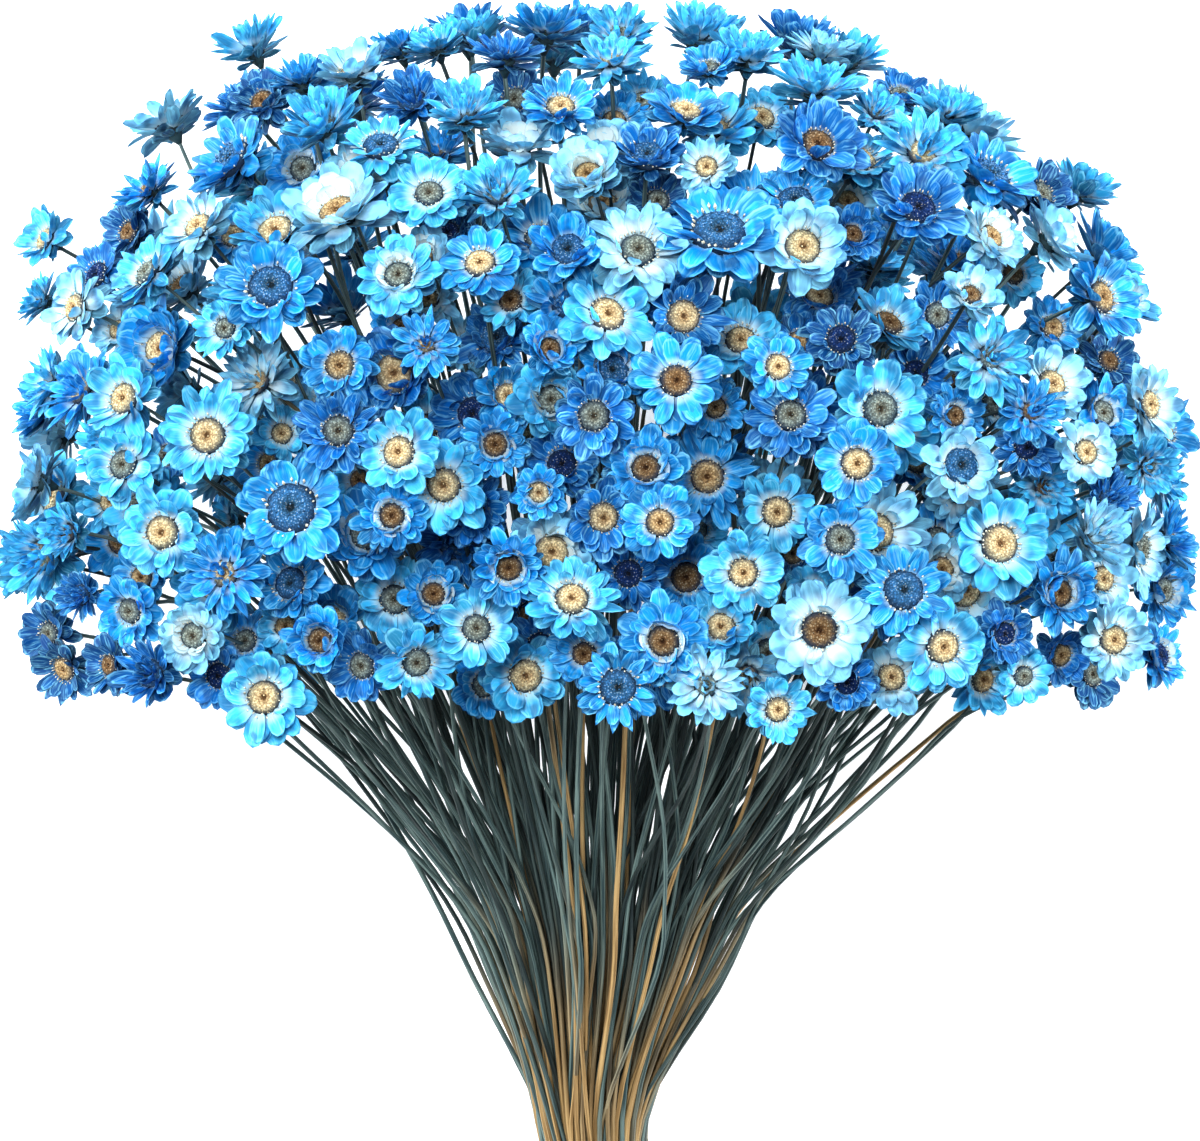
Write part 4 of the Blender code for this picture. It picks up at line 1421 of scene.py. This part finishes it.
def turns_route():
    """The turns round the neck, from under the knot back to under it."""
    steps = TWINE_TURNS * POINTS_PER_TURN
    route = []
    for step in range(steps + 1):
        turn = math.tau * step / POINTS_PER_TURN
        slip = (step / steps - 0.5) * TWINE_TURNS * TWINE_PITCH
        route.append(NECK + slip * neck_along
                     + Vector((round_wide * math.sin(turn), 0, round_high * math.cos(turn))))
    return route


def knot_point(x, y, z):
    """A place of the knot, from its own ways: x away from the heads, y across and z up."""
    return knot_at + KNOT_UNIT * Vector((y, -x, z))


def knot_route():
    """An overhand knot, which is a trefoil cut open, with a tail at each end."""
    loop = []
    for step in range(KNOT_POINTS + 1):
        turn = KNOT_OPEN + (math.tau - 2 * KNOT_OPEN) * step / KNOT_POINTS
        out = 2 + math.cos(3 * turn)
        loop.append(knot_point(out * math.cos(2 * turn), out * math.sin(2 * turn), 1.1 * math.sin(3 * turn)))
    first, last = ([knot_point(*place) for place in tail] for tail in TAILS)
    return first[::-1] + loop + last


def fray(end, before, draw):
    """Short loose fibres where a tail is cut."""
    along = (end - before).normalized()
    for _ in range(FIBRES):
        stray = Vector([draw.gauss(0, FIBRE_SPREAD) for _ in range(3)])
        yield [end + further * along + apart * stray for further, apart in FIBRE_STEPS]


fray_draw = random.Random(SEED)
knot = knot_route()
chains = [(turns_route(), 1.0), (knot, 1.0)]
for end, before in ((knot[0], knot[1]), (knot[-1], knot[-2])):
    chains += [(fibre, FIBRE_GIRTH) for fibre in fray(end, before, fray_draw)]
print("twine, mm:", round(1000 * sum((b - a).length for a, b in zip(chains[0][0], chains[0][0][1:])), 1))

# %% The tree that lays the twine
PLIES = 3
TWISTS_PER_METRE = 230
TWINE_STEP = 0.0005
PLY_SIDES = 6


def twine_tree():
    """The tree that copies each route once for a ply and winds the copies round it."""
    tree, given = new_tree(
        "lay_twine", "Twine", ("Chains", "Geometry", None), ("Plies", "Int", PLIES),
        ("Ply radius", "Float", PLY_RADIUS), ("Ply offset", "Float", PLY_OFFSET),
        ("Twists a metre", "Float", TWISTS_PER_METRE), ("Step", "Float", TWINE_STEP),
        ("Twine finish", "Material", None))
    even = add_node(tree, "GeometryNodeResampleCurve", {
        0: smooth_chains(tree, given["Chains"]), "Length": given["Step"]}, mode="LENGTH")
    plies = add_node(tree, "GeometryNodeDuplicateElements", {
        0: mark(tree, even.outputs[0], "along", "Length"), "Amount": given["Plies"]}, domain="SPLINE")
    share = calc(tree, "DIVIDE", plies.outputs[1], given["Plies"])
    twist = calc(tree, "MULTIPLY_ADD", named(tree, "along"), given["Twists a metre"], share)
    turn = times(tree, twist, math.tau)
    out = times(tree, given["Ply offset"], named(tree, "girth"))
    normal = add_node(tree, "GeometryNodeInputNormal").outputs[0]
    tangent = add_node(tree, "GeometryNodeInputTangent").outputs[0]
    binormal = add_node(tree, "ShaderNodeVectorMath", {0: tangent, 1: normal},
                        operation="CROSS_PRODUCT").outputs[0]
    first, second = (scaled(tree, way, times(tree, calc(tree, how, turn), out))
                     for way, how in ((normal, "COSINE"), (binormal, "SINE")))
    offset = add_node(tree, "ShaderNodeVectorMath", {0: first, 1: second}, operation="ADD").outputs[0]
    wound = add_node(tree, "GeometryNodeSetPosition", {"Geometry": plies.outputs[0], "Offset": offset})
    rope = tube(tree, wound.outputs[0], PLY_SIDES, given["Ply radius"])
    plain = add_node(tree, "GeometryNodeRealizeInstances", {0: rope})
    shown = add_node(tree, "GeometryNodeSetMaterial", {0: plain.outputs[0], 2: given["Twine finish"]})
    add_node(tree, "NodeGroupOutput", {0: shown.outputs[0]})
    return tree


# %% Jute, and the tie as a plain mesh
JUTE = rgb(196, 160, 108)
JUTE_DARK = rgb(122, 88, 48)
FIBRES_ACROSS = 2.4
FIBRES_ALONG = 420.0
FIBRES_SHOW = (0.34, 0.68)
JUTE_PATCHES = 260.0
JUTE_SHADES = (0.3, 0.7, 0.78, 1.12)


def twine_finish():
    """Jute: fine fibres along each ply, and a tone that shifts softly."""
    finish, tree = new_finish("jute_twine", roughness=0.9, specular=0.15)
    along = times(tree, read(tree, "along"), FIBRES_ALONG)
    fibres = noise(tree, on_tube(tree, FIBRES_ACROSS, along), detail=4.0)
    patch = noise(tree, object_place(tree), JUTE_PATCHES, 2.0)
    colour = blend(tree, between(tree, fibres, *FIBRES_SHOW), JUTE_DARK, JUTE)
    show(tree, shaded(tree, 1.0, colour, between(tree, patch, *JUTE_SHADES)), fibres, strength=0.7)
    return finish


routes = [route for route, _ in chains]
girths = [girth for route, girth in chains for _ in route]
twine = add_object("twine_tie", chain_mesh("twine_chains", [], routes, girths))
laid = grown_mesh(twine, twine_tree(), {"Twine finish": twine_finish()})
laid.attributes.remove(laid.attributes["girth"])
laid.name = "twine_tie"
twine.data = laid
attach(twine, "root")
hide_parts("tie")
print("twine faces:", len(laid.polygons), " height of the knot, mm:", round(1000 * knot_at.z, 1))
